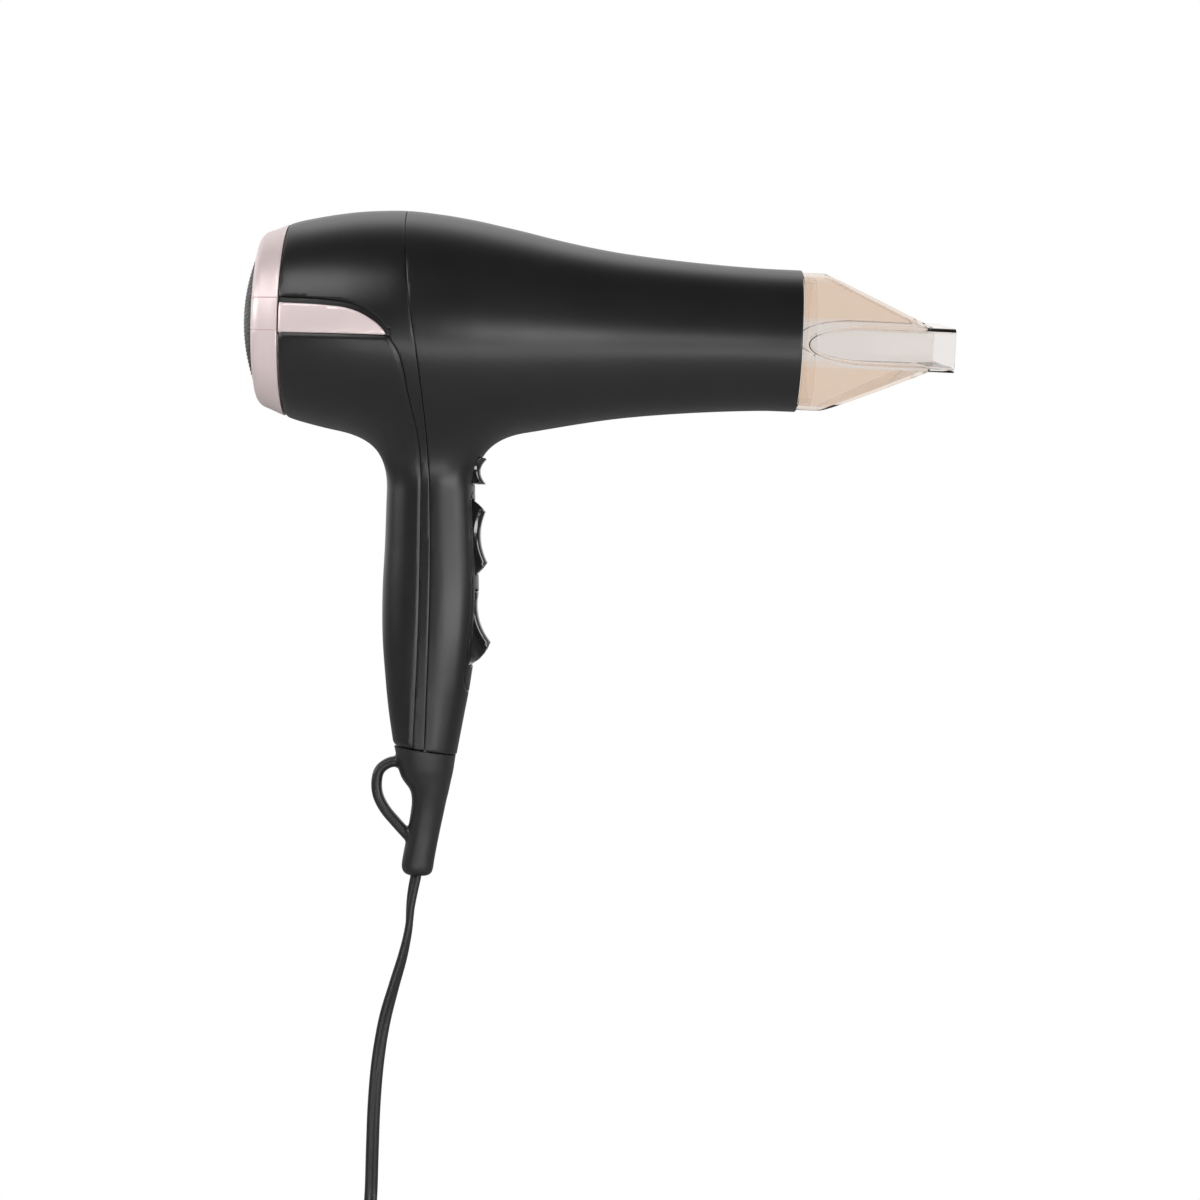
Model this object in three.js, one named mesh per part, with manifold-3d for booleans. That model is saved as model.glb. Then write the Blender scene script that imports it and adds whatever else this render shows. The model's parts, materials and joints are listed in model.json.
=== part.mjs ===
// Hair dryer with a concentrator nozzle, two rocker switches, a cool shot trigger and a mains cord.
// Millimetres, +X towards the nozzle, +Z up, +Y to the user's left. Every shape is drawn with the
// barrel's axis on the X axis; the last group moves the origin to the middle of the hand grip.

import * as THREE from "three";
import { mergeVertices } from "three/addons/utils/BufferGeometryUtils.js";
import Module from "manifold-3d";

const wasm = await Module();
wasm.setup();

// ---------------------------------------------------------------- driving sizes

const gap = 0.3; // parting gap between neighbouring pieces
const slideGap = 0.4; // radial clearance of a part that pushes into another
const wall = 2.4; // thickness of the moulded shells
const roundSides = 36; // facets around a large round part
const smallSides = 16; // facets around a small round part

const grip = { x: 2.5, z: -100 }; // middle of the hand grip, below the barrel's axis

const barrel = { rear: -57.2, front: 146.6, crestRadius: 45.3, outletRadius: 28.2 };
// share of the barrel's length, share of the rise from the outlet's radius to the crest's
const barrelBulge = [
  [-0.02, 0.53], [0, 0.585], [0.075, 0.813], [0.217, 1], [0.369, 0.825],
  [0.516, 0.48], [0.693, 0.17], [0.84, 0.047], [1, 0], [1.02, 0],
];

const handle = { axis: 3.1, depth: 37.2, width: 31, top: -38, bottom: -170.5, power: 2.3 };
// share of the way down, then shares of the half depth (rear, front) and of the half width
const handleShape = [
  [-0.06, -2.9, 2.4, 1.5], [0, -2.15, 1.8, 1.3], [0.06, -1.5, 1.24, 1.14], [0.1, -1.16, 1.07, 1.08],
  [0.15, -1.03, 0.93, 1.04], [0.22, -0.985, 0.89, 1.01], [0.5, -0.99, 1.0, 1], [0.74, -0.89, 0.97, 0.97],
  [0.87, -0.76, 0.87, 0.91], [1, -0.6, 0.75, 0.84], [1.04, -0.56, 0.72, 0.83],
];

const seamRise = 2.8; // the lower end of the shells is this much higher at the back
// parting line between front and rear housing: height, x
const seamLine = [
  [-180, 4.7], [-110, 4.4], [-70, 2.9], [-40, 0.5], [-16, -2.6], [8, -6.8], [43, -10.8], [80, -11.5],
];
// front edge of the handle's back panel: height, x
const backLine = [
  [-180, -0.3], [-124, 0.4], [-76, -0.5], [-49, -1.8], [-30, -5.9], [-17, -8.9], [-8.5, -13.7], [0, -19],
];

const trim = { low: -8.6, front: -14.2, grooveWidth: 2.4, thickness: 1.1, pocket: 1.5 };
const trimTop = [[-58, 3.2], [-40.5, 2.6], [-28, 1], [-18.4, -3.9], [-13.9, -8.7], [-12, -11]];

const ring = { depth: 10.8, rearRadius: 31.5, bore: 30.3, spigotLength: 4.2, spigotWall: 1.6 };
const screen = { dome: 5.9, thickness: 0.8, skirt: 4.5 };
const guard = { thickness: 2.4, hubRadius: 6, midRadius: 17, ringWidth: 1.6, ribs: 6 };

const fan = { hubRadius: 15, blades: 9, tipClearance: 0.9, length: 13, bladeThickness: 1.1, pitch: 38 };
const duct = { rear: -52.4, front: 31, clearance: 1.2, wall: 1.6, vanes: 6, vaneLength: 20 };
const motor = {
  rear: -31, front: 24, radius: 18.2, wall: 1.4, shaftRadius: 1.5, capLength: 7,
  armatureRadius: 11.4, armatureLength: 26, commutatorRadius: 5, bearingRadius: 4.6, bearingWidth: 4,
};
const heater = {
  rear: 34, front: 126, boardThickness: 0.8, wire: 0.7, turns: 8, coilGap: 1.2,
  sleeveGap: 0.8, sleeveWall: 0.7,
};
const grille = { rear: 131.5, thickness: 4, hubRadius: 7, rings: [12.4, 17.9], ribWidth: 1.4, ribs: 6 };

const nozzle = {
  turn: 8, wall: 1.6, roundLength: 9, chiselLength: 41.4, mouthReach: 58.4,
  ductHalfHeight: 8.5, ductRearHalfWidth: 25.6, mouthHalfWidth: 36, edgeRound: 3,
};
const collar = { insert: 7.2, reach: 5.4, wall: 1.3 };

const plate = { top: -66, bottom: -145, halfWidth: 10.2, thickness: 1.1, pocket: 1.4 };
const rocker = {
  heights: [-84.5, -119.4], rest: [4.4, 15.7], width: 12.2, swing: 17.5, pivotDepth: 10.4,
  faceHeight: 13.9, dish: 1.9, pinRadius: 1.2,
};
const trigger = { top: -51.9, bottom: -62.3, width: 12, stand: 3.7, dish: 2.2, travel: 2.5 };
const boxes = { switchDepth: 8.5, switchHeight: 18, switchWidth: 13, cheek: 1.2, boardThickness: 1.6 };

const boot = { length: 48.8, boreRadius: 3.1 };
// share of the way down, then rear and front edge and half width
const bootShape = [
  [0, -6.8, 16.4, 12.6], [0.14, -5.6, 15.7, 11.4], [0.3, -1.7, 14.3, 9.4], [0.42, -0.4, 13.2, 8],
  [0.66, -1.6, 11.2, 6.7], [0.9, -3.3, 9.6, 6.3], [0.965, -2.6, 8.9, 5.7], [1, -0.9, 7.2, 4],
];
const hangLoop = { thickness: 4.3, width: 7.4 };
// x, height above the handle's lower end
const hangLoopPath = [
  [-3.5, -5], [-9, -4.1], [-13.4, -7.1], [-14.7, -12], [-13.9, -17.7],
  [-10.9, -23.1], [-6.4, -28.1], [-1.5, -33.1], [1.5, -36],
];

const cord = { radius: 2.2, coreWidth: 5.2, coreThickness: 3 };
// share of the way up the cord guard from its end, x of the cord inside it
const coreLine = [[-0.1, 2.2], [0, 2.5], [0.3, 4.1], [0.6, 5.6], [1, 5.1], [2, 5]];
const cordDrop = [
  [0.9, 0, -232], [0.5, 0, -241], [-1.4, 0, -252], [-4.4, 0, -264], [-7.6, 0, -278],
  [-9.6, 0, -294], [-10.4, 0, -311], [-10.4, 0, -328], [-10.2, 0, -344],
];
const floorZ = -388; // the coiled length lies on a surface at this height
const coil = { columns: [28.2, 33.9], width: 11.7, bottom: floorZ + 1, top: floorZ + 16.4 };
const coilInner = (coil.columns[0] + coil.columns[1] - coil.width) / 2;
const coilOuter = coilInner + coil.width;
const coilCentre = { x: cordDrop.at(-1)[0] + coil.columns[0], y: 0 };
const tie = { wall: 0.9, width: 4 };
const plug = { rear: 68, length: 36, width: 24, height: 16, bootLength: 13, bootRadius: 5 };
const plugY = coilCentre.y - coil.columns[1]; // the tail leaves the outer turns straight ahead
const pin = { length: 17, width: 6.3, thickness: 1.5, spacing: 12.7 };
const clamp = { z: -151, height: 7, depth: 4, halfWidth: 9.6, screwY: 6.4 };
const screw = { radius: 1.3, headRadius: 2.7, headHeight: 1.9, length: 12, bossRadius: 3 };

// ---------------------------------------------------------------- geometry helpers

// A smooth function through a few points, given as rows of [at, value, value, ...].
function curveThrough(rows, column = 1) {
  const slope = (i) => {
    const before = rows[Math.max(i - 1, 0)];
    const after = rows[Math.min(i + 1, rows.length - 1)];
    return (after[column] - before[column]) / (after[0] - before[0]);
  };
  return (at) => {
    let i = rows.findIndex((row) => row[0] > at) - 1;
    if (i < 0) i = at < rows[0][0] ? 0 : rows.length - 2;
    const step = rows[i + 1][0] - rows[i][0];
    const t = Math.min(Math.max((at - rows[i][0]) / step, 0), 1);
    const rise = rows[i + 1][column] - rows[i][column];
    const [m0, m1] = [slope(i) * step, slope(i + 1) * step];
    const ease = t * t * (3 - 2 * t);
    return rows[i][column] + rise * ease + m0 * t * (1 - t) ** 2 - m1 * t * t * (1 - t);
  };
}

function spread(from, to, steps) {
  return Array.from({ length: steps + 1 }, (_, i) => from + ((to - from) * i) / steps);
}

// Turns a three.js geometry into a closed solid, with its faces pointing out.
function solid(geometry) {
  const bare = geometry.clone();
  bare.deleteAttribute("normal");
  bare.deleteAttribute("uv");
  const merged = mergeVertices(bare, 1e-4);
  const points = new Float32Array(merged.attributes.position.array);
  const corners = merged.index.array;
  const at = (i) => new THREE.Vector3().fromArray(points, 3 * i);
  const faces = [];
  let volume = 0;
  for (let i = 0; i < corners.length; i += 3) {
    const [a, b, c] = [corners[i], corners[i + 1], corners[i + 2]];
    if (a === b || b === c || c === a) continue;
    faces.push([a, b, c]);
    volume += at(a).dot(at(b).cross(at(c)));
  }
  const triVerts = new Uint32Array(faces.flatMap((f) => (volume < 0 ? [f[0], f[2], f[1]] : f)));
  return new wasm.Manifold(new wasm.Mesh({ numProp: 3, vertProperties: points, triVerts }));
}

function union(...solids) {
  return solids.reduce((sum, next) => sum.add(next));
}

// Turns a closed profile of [x, radius] points about the X axis.
function turned(profile, sides = roundSides) {
  const points = [...profile, profile[0]].map(([x, r]) => new THREE.Vector2(r, x));
  return solid(new THREE.LatheGeometry(points, sides).rotateZ(-Math.PI / 2));
}

function rod(x0, x1, radius, sides = smallSides) {
  return solid(new THREE.CylinderGeometry(radius, radius, x1 - x0, sides)
    .rotateZ(-Math.PI / 2).translate((x0 + x1) / 2, 0, 0));
}

function tubeX(x0, x1, inner, outer, sides = roundSides) {
  return turned([[x0, inner], [x0, outer], [x1, outer], [x1, inner]], sides);
}

function block([x0, x1], [y0, y1], [z0, z1]) {
  return solid(new THREE.BoxGeometry(x1 - x0, y1 - y0, z1 - z0)
    .translate((x0 + x1) / 2, (y0 + y1) / 2, (z0 + z1) / 2));
}

// A side view outline of [x, z] points, as thick as y0 to y1.
function prism(outline, y0 = -80, y1 = 80) {
  const shape = new THREE.Shape(outline.map(([x, z]) => new THREE.Vector2(x, z)));
  return solid(new THREE.ExtrudeGeometry(shape, { depth: y1 - y0, bevelEnabled: false })
    .rotateX(Math.PI / 2).translate(0, y1, 0));
}

// A front view outline, given as a THREE.Shape of (y, z), from x0 to x1.
function frontPrism(shape, x0, x1) {
  return solid(new THREE.ExtrudeGeometry(shape, { depth: x1 - x0, bevelEnabled: false, curveSegments: 8 })
    .rotateX(Math.PI / 2).rotateZ(Math.PI / 2).translate(x0, 0, 0));
}

function roundedBox(y0, y1, z0, z1, radius) {
  const shape = new THREE.Shape();
  shape.absarc(y1 - radius, z1 - radius, radius, 0, Math.PI / 2);
  shape.absarc(y0 + radius, z1 - radius, radius, Math.PI / 2, Math.PI);
  shape.absarc(y0 + radius, z0 + radius, radius, Math.PI, 1.5 * Math.PI);
  shape.absarc(y1 - radius, z0 + radius, radius, 1.5 * Math.PI, 2 * Math.PI);
  return shape;
}

// A solid of rounded sections stacked from one height to another.
function stacked(z0, z1, rows, columns, section) {
  const geometry = new THREE.CylinderGeometry(1, 1, 1, columns, rows).rotateX(Math.PI / 2);
  const at = geometry.attributes.position;
  const bulged = (value, power) => Math.sign(value) * Math.abs(value) ** (2 / power);
  for (let i = 0; i < at.count; i += 1) {
    const z = z0 + (at.getZ(i) + 0.5) * (z1 - z0);
    const { rear, front, half, power } = section(z);
    const x = (rear + front) / 2 + ((front - rear) / 2) * bulged(at.getX(i), power);
    at.setXYZ(i, x, half * bulged(at.getY(i), power), z);
  }
  return solid(geometry);
}

// A rod bent along a path in the XZ plane or in space.
function bentRod(points, halfAcross, halfAlong, sides, steps) {
  const path = new THREE.CatmullRomCurve3(points.map((p) => new THREE.Vector3(...p)));
  const section = new THREE.Shape(new THREE.EllipseCurve(0, 0, halfAcross, halfAlong).getPoints(sides));
  return solid(new THREE.ExtrudeGeometry(section, { steps, extrudePath: path }));
}

function around(count, make) {
  const turns = Array.from({ length: count }, (_, i) => make(i).rotate([(i * 360) / count, 0, 0]));
  return union(...turns);
}

const root = new THREE.Group();

// Adds a solid to the model as a named mesh with its own material.
function add(name, body, finish, parent = root) {
  const mesh = body.getMesh();
  const geometry = new THREE.BufferGeometry();
  geometry.setAttribute("position", new THREE.BufferAttribute(mesh.vertProperties, 3));
  geometry.setIndex(new THREE.BufferAttribute(mesh.triVerts, 1));
  geometry.computeVertexNormals();
  const [color, roughness, metalness, opacity = 1] = finishes[finish];
  const look = { color, roughness, metalness, opacity, transparent: opacity < 1 };
  const piece = new THREE.Mesh(geometry, new THREE.MeshStandardMaterial(look));
  piece.name = name;
  parent.add(piece);
}

const finishes = {
  satinBlack: [0x1d1d1f, 0.45, 0], glossBlack: [0x131315, 0.15, 0], roseGold: [0xe0c8c4, 0.3, 0.9],
  meshBlack: [0x18181a, 0.5, 0.4], peach: [0xe6cdbb, 0.1, 0, 0.45], steel: [0xb9bcc0, 0.3, 1],
  copper: [0xb8733a, 0.35, 1], mica: [0xb9b09a, 0.7, 0], brass: [0xc9a24a, 0.3, 1],
  cordBlack: [0x161617, 0.55, 0], innerPlastic: [0x8d8f92, 0.5, 0], magnet: [0x3a3b3e, 0.6, 0.3],
  boardGreen: [0x2e5b40, 0.5, 0], nichrome: [0x8a8076, 0.4, 1],
};

// ---------------------------------------------------------------- outer form

const bulge = curveThrough(barrelBulge);
function barrelRadius(x) {
  const share = (x - barrel.rear) / (barrel.front - barrel.rear);
  return barrel.outletRadius + (barrel.crestRadius - barrel.outletRadius) * bulge(share);
}

const handleCurves = [1, 2, 3].map((column) => curveThrough(handleShape, column));
function handleSection(z, inset = 0) {
  const share = (handle.top - z) / (handle.top - handle.bottom);
  const [rear, front, half] = handleCurves.map((curve) => curve(share));
  return {
    rear: handle.axis + (rear * handle.depth) / 2 + inset,
    front: handle.axis + (front * handle.depth) / 2 - inset,
    half: (half * handle.width) / 2 - inset,
    power: handle.power,
  };
}

// The dryer's outer form, taken in by inset; the barrel runs past both ends when it is a cutter.
function outerForm(inset, overrun = 0, sides = roundSides) {
  const [x0, x1] = [barrel.rear - overrun, barrel.front + overrun];
  const edge = spread(x0, x1, 15).map((x) => [x, barrelRadius(x) - inset]);
  const tube = turned([[x0, 0], ...edge, [x1, 0]], sides);
  const stem = stacked(handle.bottom - 6, handle.top + 6, 14, 24, (z) => handleSection(z, inset));
  return tube.add(stem);
}

const seam = curveThrough(seamLine);
const backEdge = curveThrough(backLine);
const trimEdge = curveThrough(trimTop);
const farRear = -140;
const farFront = 240;
const farUp = 120;
const farDown = handle.bottom - 12;

// Everything behind a line given as x at each height.
function behind(line, offset, z0, z1) {
  const edge = spread(z0, z1, 20).map((z) => [line(z) + offset, z]);
  return prism([[farRear, z0], ...edge, [farRear, z1]]);
}

function shellEnd(x) {
  const { rear, front } = handleSection(handle.bottom);
  return handle.bottom + (seamRise * (front - x)) / (front - rear);
}
const below = prism([[farRear, shellEnd(farRear)], [farFront, shellEnd(farFront)],
  [farFront, -400], [farRear, -400]]);

// The side view outline of the rose gold trim, let out by margin, with or without its groove.
function trimOutline(margin, groove = 0) {
  const xs = spread(barrel.rear - margin, trim.front + margin, 14);
  const crest = (x) => Math.max(trimEdge(x), trim.low) + margin + groove;
  return [[xs[0], trim.low - margin], [xs.at(-1), trim.low - margin],
    ...xs.toReversed().map((x) => [x, crest(x)])];
}

const shell = outerForm(0).subtract(outerForm(wall, 20, 24)).subtract(below);
const frontEdge = spread(farDown, farUp, 20).map((z) => [seam(z) + gap / 2, z]);
const frontRegion = prism([[farFront, farDown], ...frontEdge, [farFront, farUp]]);
const rearRegion = behind(seam, -gap / 2, farDown, farUp);
const backRegion = behind(backEdge, -gap / 2, farDown, trim.low - gap / 2);
const backRegionLetOut = behind(backEdge, gap / 2, farDown, trim.low + gap / 2);

// ---------------------------------------------------------------- rear: cover, fan and motor

function makeRearHousing() {
  const pocket = prism(trimOutline(gap, trim.grooveWidth)).subtract(outerForm(trim.pocket));
  return shell.intersect(rearRegion).subtract(backRegionLetOut).subtract(pocket);
}

function makeHandleBack() {
  return shell.intersect(rearRegion).intersect(backRegion);
}

function makeTrim(side) {
  const skin = outerForm(0).subtract(outerForm(trim.thickness));
  const half = side > 0 ? prism(trimOutline(0), 5, 80) : prism(trimOutline(0), -80, -5);
  return skin.intersect(half);
}

const ringFront = barrel.rear - gap;
const ringRear = ringFront - ring.depth;
const spigotRadius = barrelRadius(barrel.rear) - wall - slideGap;

function makeInletRing() {
  const frontRadius = barrelRadius(barrel.rear) - 0.5;
  const lean = frontRadius - ring.rearRadius;
  const body = turned([
    [ringRear, ring.bore], [ringRear, ring.rearRadius - 0.7], [ringRear + 0.7, ring.rearRadius + 0.6],
    [ringRear + 2.3, ring.rearRadius + 0.5 * lean], [ringFront - 3.5, frontRadius - 0.9],
    [ringFront, frontRadius], [ringFront, spigotRadius],
    [ringFront + ring.spigotLength, spigotRadius],
    [ringFront + ring.spigotLength, spigotRadius - ring.spigotWall],
    [ringFront, spigotRadius - ring.spigotWall], [ringFront - 2, ring.bore],
  ]);
  return body;
}

function makeInletMesh() {
  const radius = ring.bore - gap;
  const rim = ringRear - 0.2;
  const dome = (offset) => spread(0, 1, 5).map((s) => [
    rim - screen.dome * (1 - s * s) + offset, s * (radius - offset),
  ]);
  return turned([...dome(0), [rim + screen.skirt, radius],
    [rim + screen.skirt, radius - screen.thickness], ...dome(screen.thickness).toReversed()]);
}

function makeInletGuard() {
  const outer = ring.bore - gap;
  const x0 = ringRear + screen.skirt + 1;
  const x1 = x0 + guard.thickness;
  const rib = () => block([x0, x1], [-0.8, 0.8], [guard.hubRadius - 1, outer - 1]);
  return union(
    tubeX(x0, x1, outer - 2, outer),
    tubeX(x0, x1, guard.midRadius, guard.midRadius + guard.ringWidth, 24),
    rod(x0, x1, guard.hubRadius),
    around(guard.ribs, rib),
  );
}

const ductRadius = barrelRadius(duct.rear) - wall - duct.clearance;
const ductBore = ductRadius - duct.wall;
const fanRear = duct.rear + 1.5;
const fanFront = fanRear + fan.length;

function makeFanImpeller() {
  const tip = ductBore - fan.tipClearance;
  const reach = tip - fan.hubRadius + 1;
  const sheet = new THREE.BoxGeometry(fan.length * 1.1, fan.bladeThickness, reach)
    .translate(0, 0, tip - reach / 2);
  const blade = () => solid(sheet).rotate([0, 0, fan.pitch]).translate([(fanRear + fanFront) / 2, 0, 0]);
  const hub = turned([
    [fanRear, 0], [fanRear, fan.hubRadius * 0.45], [fanRear + 2.5, fan.hubRadius * 0.85],
    [fanRear + 5.5, fan.hubRadius], [fanFront, fan.hubRadius], [fanFront, 0],
  ], 32);
  const envelope = rod(fanRear, fanFront, tip, roundSides);
  const bore = rod(fanRear - 5, fanFront + 5, motor.shaftRadius + gap);
  return hub.add(around(fan.blades, blade)).intersect(envelope).subtract(bore);
}

function makeFanDuct() {
  const sleeve = motor.radius + slideGap;
  const x0 = fanFront + 3;
  const vane = () => block([x0 + 1, x0 + 1 + duct.vaneLength], [-0.7, 0.7], [sleeve + 0.5, ductBore + 0.5]);
  return union(
    tubeX(duct.rear, duct.front, ductBore, ductRadius),
    tubeX(x0, motor.front - 4, sleeve, sleeve + 1.4, 32),
    around(duct.vanes, vane),
  );
}

function makeMotorCase() {
  const inside = motor.radius - motor.wall;
  const eye = motor.bearingRadius + gap;
  return turned([
    [motor.rear, eye], [motor.rear, motor.radius], [motor.front, motor.radius], [motor.front, inside],
    [motor.rear + motor.bearingWidth, inside], [motor.rear + motor.bearingWidth, eye],
  ], 32);
}

function makeMotorEndCap() {
  const x0 = motor.front + gap;
  const seat = motor.bearingRadius + gap;
  const lip = motor.radius - motor.wall - gap;
  return turned([
    [x0 - 3, lip - 1.2], [x0 - 3, lip], [x0, lip], [x0, motor.radius], [x0 + 1.6, motor.radius],
    [x0 + motor.capLength, seat + 2.4], [x0 + motor.capLength, motor.shaftRadius + 0.6],
    [x0 + motor.capLength - 1.2, motor.shaftRadius + 0.6], [x0 + motor.capLength - 1.2, seat],
    [x0 + 1.6, seat], [x0 + 0.4, lip - 1.2],
  ], 24);
}

function makeMagnet(side) {
  const outer = motor.radius - motor.wall - gap;
  const inner = motor.armatureRadius + 1;
  const arc = tubeX(motor.rear + 10, motor.rear + 40, inner, outer, 32);
  const [z0, z1] = side > 0 ? [inner * 0.35, 40] : [-40, -inner * 0.35];
  return arc.intersect(block([motor.rear, motor.front], [-40, 40], [z0, z1]));
}

const shaftBore = motor.shaftRadius + gap;
function makeArmature() {
  const x0 = motor.rear + 12;
  const slot = () => block([x0 - 1, x0 + motor.armatureLength + 1], [-1.1, 1.1],
    [motor.armatureRadius - 4, motor.armatureRadius + 2]);
  return tubeX(x0, x0 + motor.armatureLength, shaftBore, motor.armatureRadius, 36)
    .subtract(around(5, slot));
}

const commutatorSpan = [motor.front - 11, motor.front - 4];
function makeBrush(side) {
  const near = motor.commutatorRadius + gap;
  const far = motor.radius - motor.wall - 2;
  const span = side > 0 ? [near, far] : [-far, -near];
  const [x0, x1] = commutatorSpan;
  return block([x0 + 1, x1 - 1], span, [-1.9, 1.9]);
}

const bearing = (x0) => tubeX(x0, x0 + motor.bearingWidth - 0.6, shaftBore, motor.bearingRadius, smallSides);

// ---------------------------------------------------------------- front: heater, grille and nozzle

const collarRadius = barrel.outletRadius - wall - slideGap;
const nozzleRadius = collarRadius + slideGap + nozzle.wall;
const mouthX = barrel.front + nozzle.mouthReach;

const sleeveRadius = barrel.outletRadius - wall - heater.sleeveGap;
const sleeveBore = sleeveRadius - heater.sleeveWall;
const boardHalf = sleeveBore - 2 * heater.coilGap - heater.wire;
const boardMiddle = (heater.rear + heater.front) / 2;
function makeMicaBoard(upright) {
  const half = boardHalf;
  const thick = heater.boardThickness / 2;
  const board = upright
    ? block([heater.rear, heater.front], [-thick, thick], [-half, half])
    : block([heater.rear, heater.front], [-half, half], [-thick, thick]);
  const [x0, x1] = upright ? [boardMiddle - gap, farFront] : [farRear, boardMiddle + gap];
  return board.subtract(block([x0, x1], [-thick - gap, thick + gap], [-thick - gap, thick + gap]));
}

function makeHeatingCoil() {
  const radius = boardHalf + heater.coilGap;
  const stepsPerTurn = 12;
  const count = heater.turns * stepsPerTurn;
  const points = Array.from({ length: count + 1 }, (_, i) => {
    const angle = (2 * Math.PI * i) / stepsPerTurn;
    const x = heater.rear + 8 + ((heater.front - heater.rear - 16) * i) / count;
    return [x, radius * Math.cos(angle), radius * Math.sin(angle)];
  });
  return bentRod(points, heater.wire, heater.wire, 4, count);
}

function makeOutletGrille() {
  const outer = barrel.outletRadius - wall - gap;
  const [x0, x1] = [grille.rear, grille.rear + grille.thickness];
  const half = grille.ribWidth / 2;
  const rib = () => block([x0, x1], [-half, half], [grille.hubRadius - 1, outer - 0.8]);
  return union(
    tubeX(x0, x1, outer - 1.6, outer),
    ...grille.rings.map((r) => tubeX(x0, x1, r, r + grille.ribWidth, 24)),
    tubeX(x0, x1, grille.hubRadius - 1.6, grille.hubRadius, smallSides),
    around(grille.ribs, rib),
  );
}

// The nozzle's outer form, taken in by inset: a round end flattened by two sloping planes,
// and a flat duct that leaves it and widens to the mouth.
function nozzleForm(inset, overrun) {
  const x0 = barrel.front + slideGap - overrun;
  const radius = nozzleRadius - inset;
  const start = barrel.front + nozzle.roundLength;
  const end = start + nozzle.chiselLength - inset;
  const low = nozzle.ductHalfHeight - inset;
  const high = low + ((radius - low) / (end - start)) * (end - x0);
  const chisel = prism([[x0, -high], [end, -low], [end, low], [x0, high]]);
  const round = rod(x0, end, radius, roundSides).intersect(chisel);
  const sides = new THREE.Shape();
  const widen = (nozzle.mouthHalfWidth - nozzle.ductRearHalfWidth) / nozzle.mouthReach;
  const bevel = nozzle.edgeRound - inset / 2;
  const rear = barrel.front + 3 + inset;
  const tip = mouthX + 12;
  const halfAt = (x) => nozzle.ductRearHalfWidth + widen * (x - barrel.front) - inset - bevel;
  sides.moveTo(rear + bevel, -halfAt(rear));
  sides.lineTo(tip, -halfAt(tip));
  sides.lineTo(tip, halfAt(tip));
  sides.lineTo(rear + bevel, halfAt(rear));
  const flat = solid(new THREE.ExtrudeGeometry(sides, {
    depth: 2 * (low - bevel), bevelThickness: bevel, bevelSize: bevel, bevelSegments: 3,
  }).translate(0, 0, bevel - low));
  return round.add(flat).intersect(block([x0, mouthX + overrun], [-80, 80], [-80, 80]));
}

function makeNozzle() {
  return nozzleForm(0, 0).subtract(nozzleForm(nozzle.wall, 6));
}

function makeNozzleCollar() {
  const [x0, x1] = [barrel.front - collar.insert, barrel.front + collar.reach];
  return tubeX(x0, x1, collarRadius - collar.wall, collarRadius);
}

// ---------------------------------------------------------------- handle: switches and trigger

// The handle's front surface at a height and a distance to the side.
function frontAt(z, y, inset = 0) {
  const { rear, front, half, power } = handleSection(z, inset);
  const share = (1 - Math.abs(y / half) ** power) ** (1 / power);
  return (rear + front) / 2 + ((front - rear) / 2) * share;
}
const faceX = (z) => frontAt(z, 0);
const pivotX = (z) => faceX(z) - rocker.pivotDepth;

// The room that a rocker's ends sweep, let out by margins around its swing and beside it.
function rockerRoom(z, margin, beside) {
  const radius = rocker.swing + margin;
  const width = rocker.width + 2 * beside;
  return solid(new THREE.CylinderGeometry(radius, radius, width, 32)).translate([pivotX(z), 0, z]);
}

function plateOutline(margin) {
  const half = plate.halfWidth + margin;
  return roundedBox(-half, half, plate.bottom - margin, plate.top + margin, half * 0.9);
}

function makeSwitchPlate() {
  const skin = outerForm(0).subtract(outerForm(plate.thickness));
  const panel = skin.intersect(frontPrism(plateOutline(0), handle.axis + 4, farFront));
  const windows = rocker.heights.map((z) => rockerRoom(z, gap, gap));
  return panel.subtract(union(...windows));
}

// One rocker, its pivot pin on the origin and its dished face towards +X.
function makeRocker() {
  const { swing, faceHeight, dish, width, pinRadius } = rocker;
  const tip = Math.sqrt(swing ** 2 - faceHeight ** 2);
  const skirt = Math.sqrt(swing ** 2 - 7.8 ** 2);
  const face = spread(-tip, tip, 10).map((z) => [faceHeight - dish * (1 - (z / tip) ** 2), z]);
  const end = (from, to) => spread(from, to, 4).map((z) => [Math.sqrt(swing ** 2 - z * z), z]);
  const outline = [[7.8, -skirt], ...end(-skirt, -tip).slice(1, -1), ...face,
    ...end(tip, skirt).slice(1), [7, 4], [-2.4, 3], [-2.4, -3], [7, -4]];
  const pinSpan = boxes.switchWidth / 2 + boxes.cheek - gap;
  const pinSolid = solid(new THREE.CylinderGeometry(pinRadius, pinRadius, 2 * pinSpan, 14));
  return prism(outline, -width / 2, width / 2).add(pinSolid);
}

function makeSwitchBody(z) {
  const x = pivotX(z);
  const front = x - 4.2;
  const half = boxes.switchWidth / 2;
  const cheek = (y0, y1) => block([front - 1, x + 3], [y0, y1], [z - 5, z + 5]);
  const eye = solid(new THREE.CylinderGeometry(rocker.pinRadius + gap, rocker.pinRadius + gap, 60, 16))
    .translate([x, 0, z]);
  return union(
    block([front - boxes.switchDepth, front], [-half - boxes.cheek, half + boxes.cheek],
      [z - boxes.switchHeight / 2, z + boxes.switchHeight / 2]),
    cheek(-half - boxes.cheek, -half), cheek(half, half + boxes.cheek),
  ).subtract(eye);
}

const triggerZ = (trigger.top + trigger.bottom) / 2;
const triggerHalf = (trigger.top - trigger.bottom) / 2;
const triggerFace = faceX(triggerZ) + trigger.stand;
const flangeHalf = trigger.width / 2 + 1.4;
const flangeZ = [trigger.bottom - 1.2, trigger.top + 1.2];
const flangeFront = Math.min(...flangeZ.map((z) => frontAt(z, flangeHalf, wall))) - gap;
const flangeRear = flangeFront - 1.6;
const microSwitchFront = flangeRear - trigger.travel - 1.4;

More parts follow.
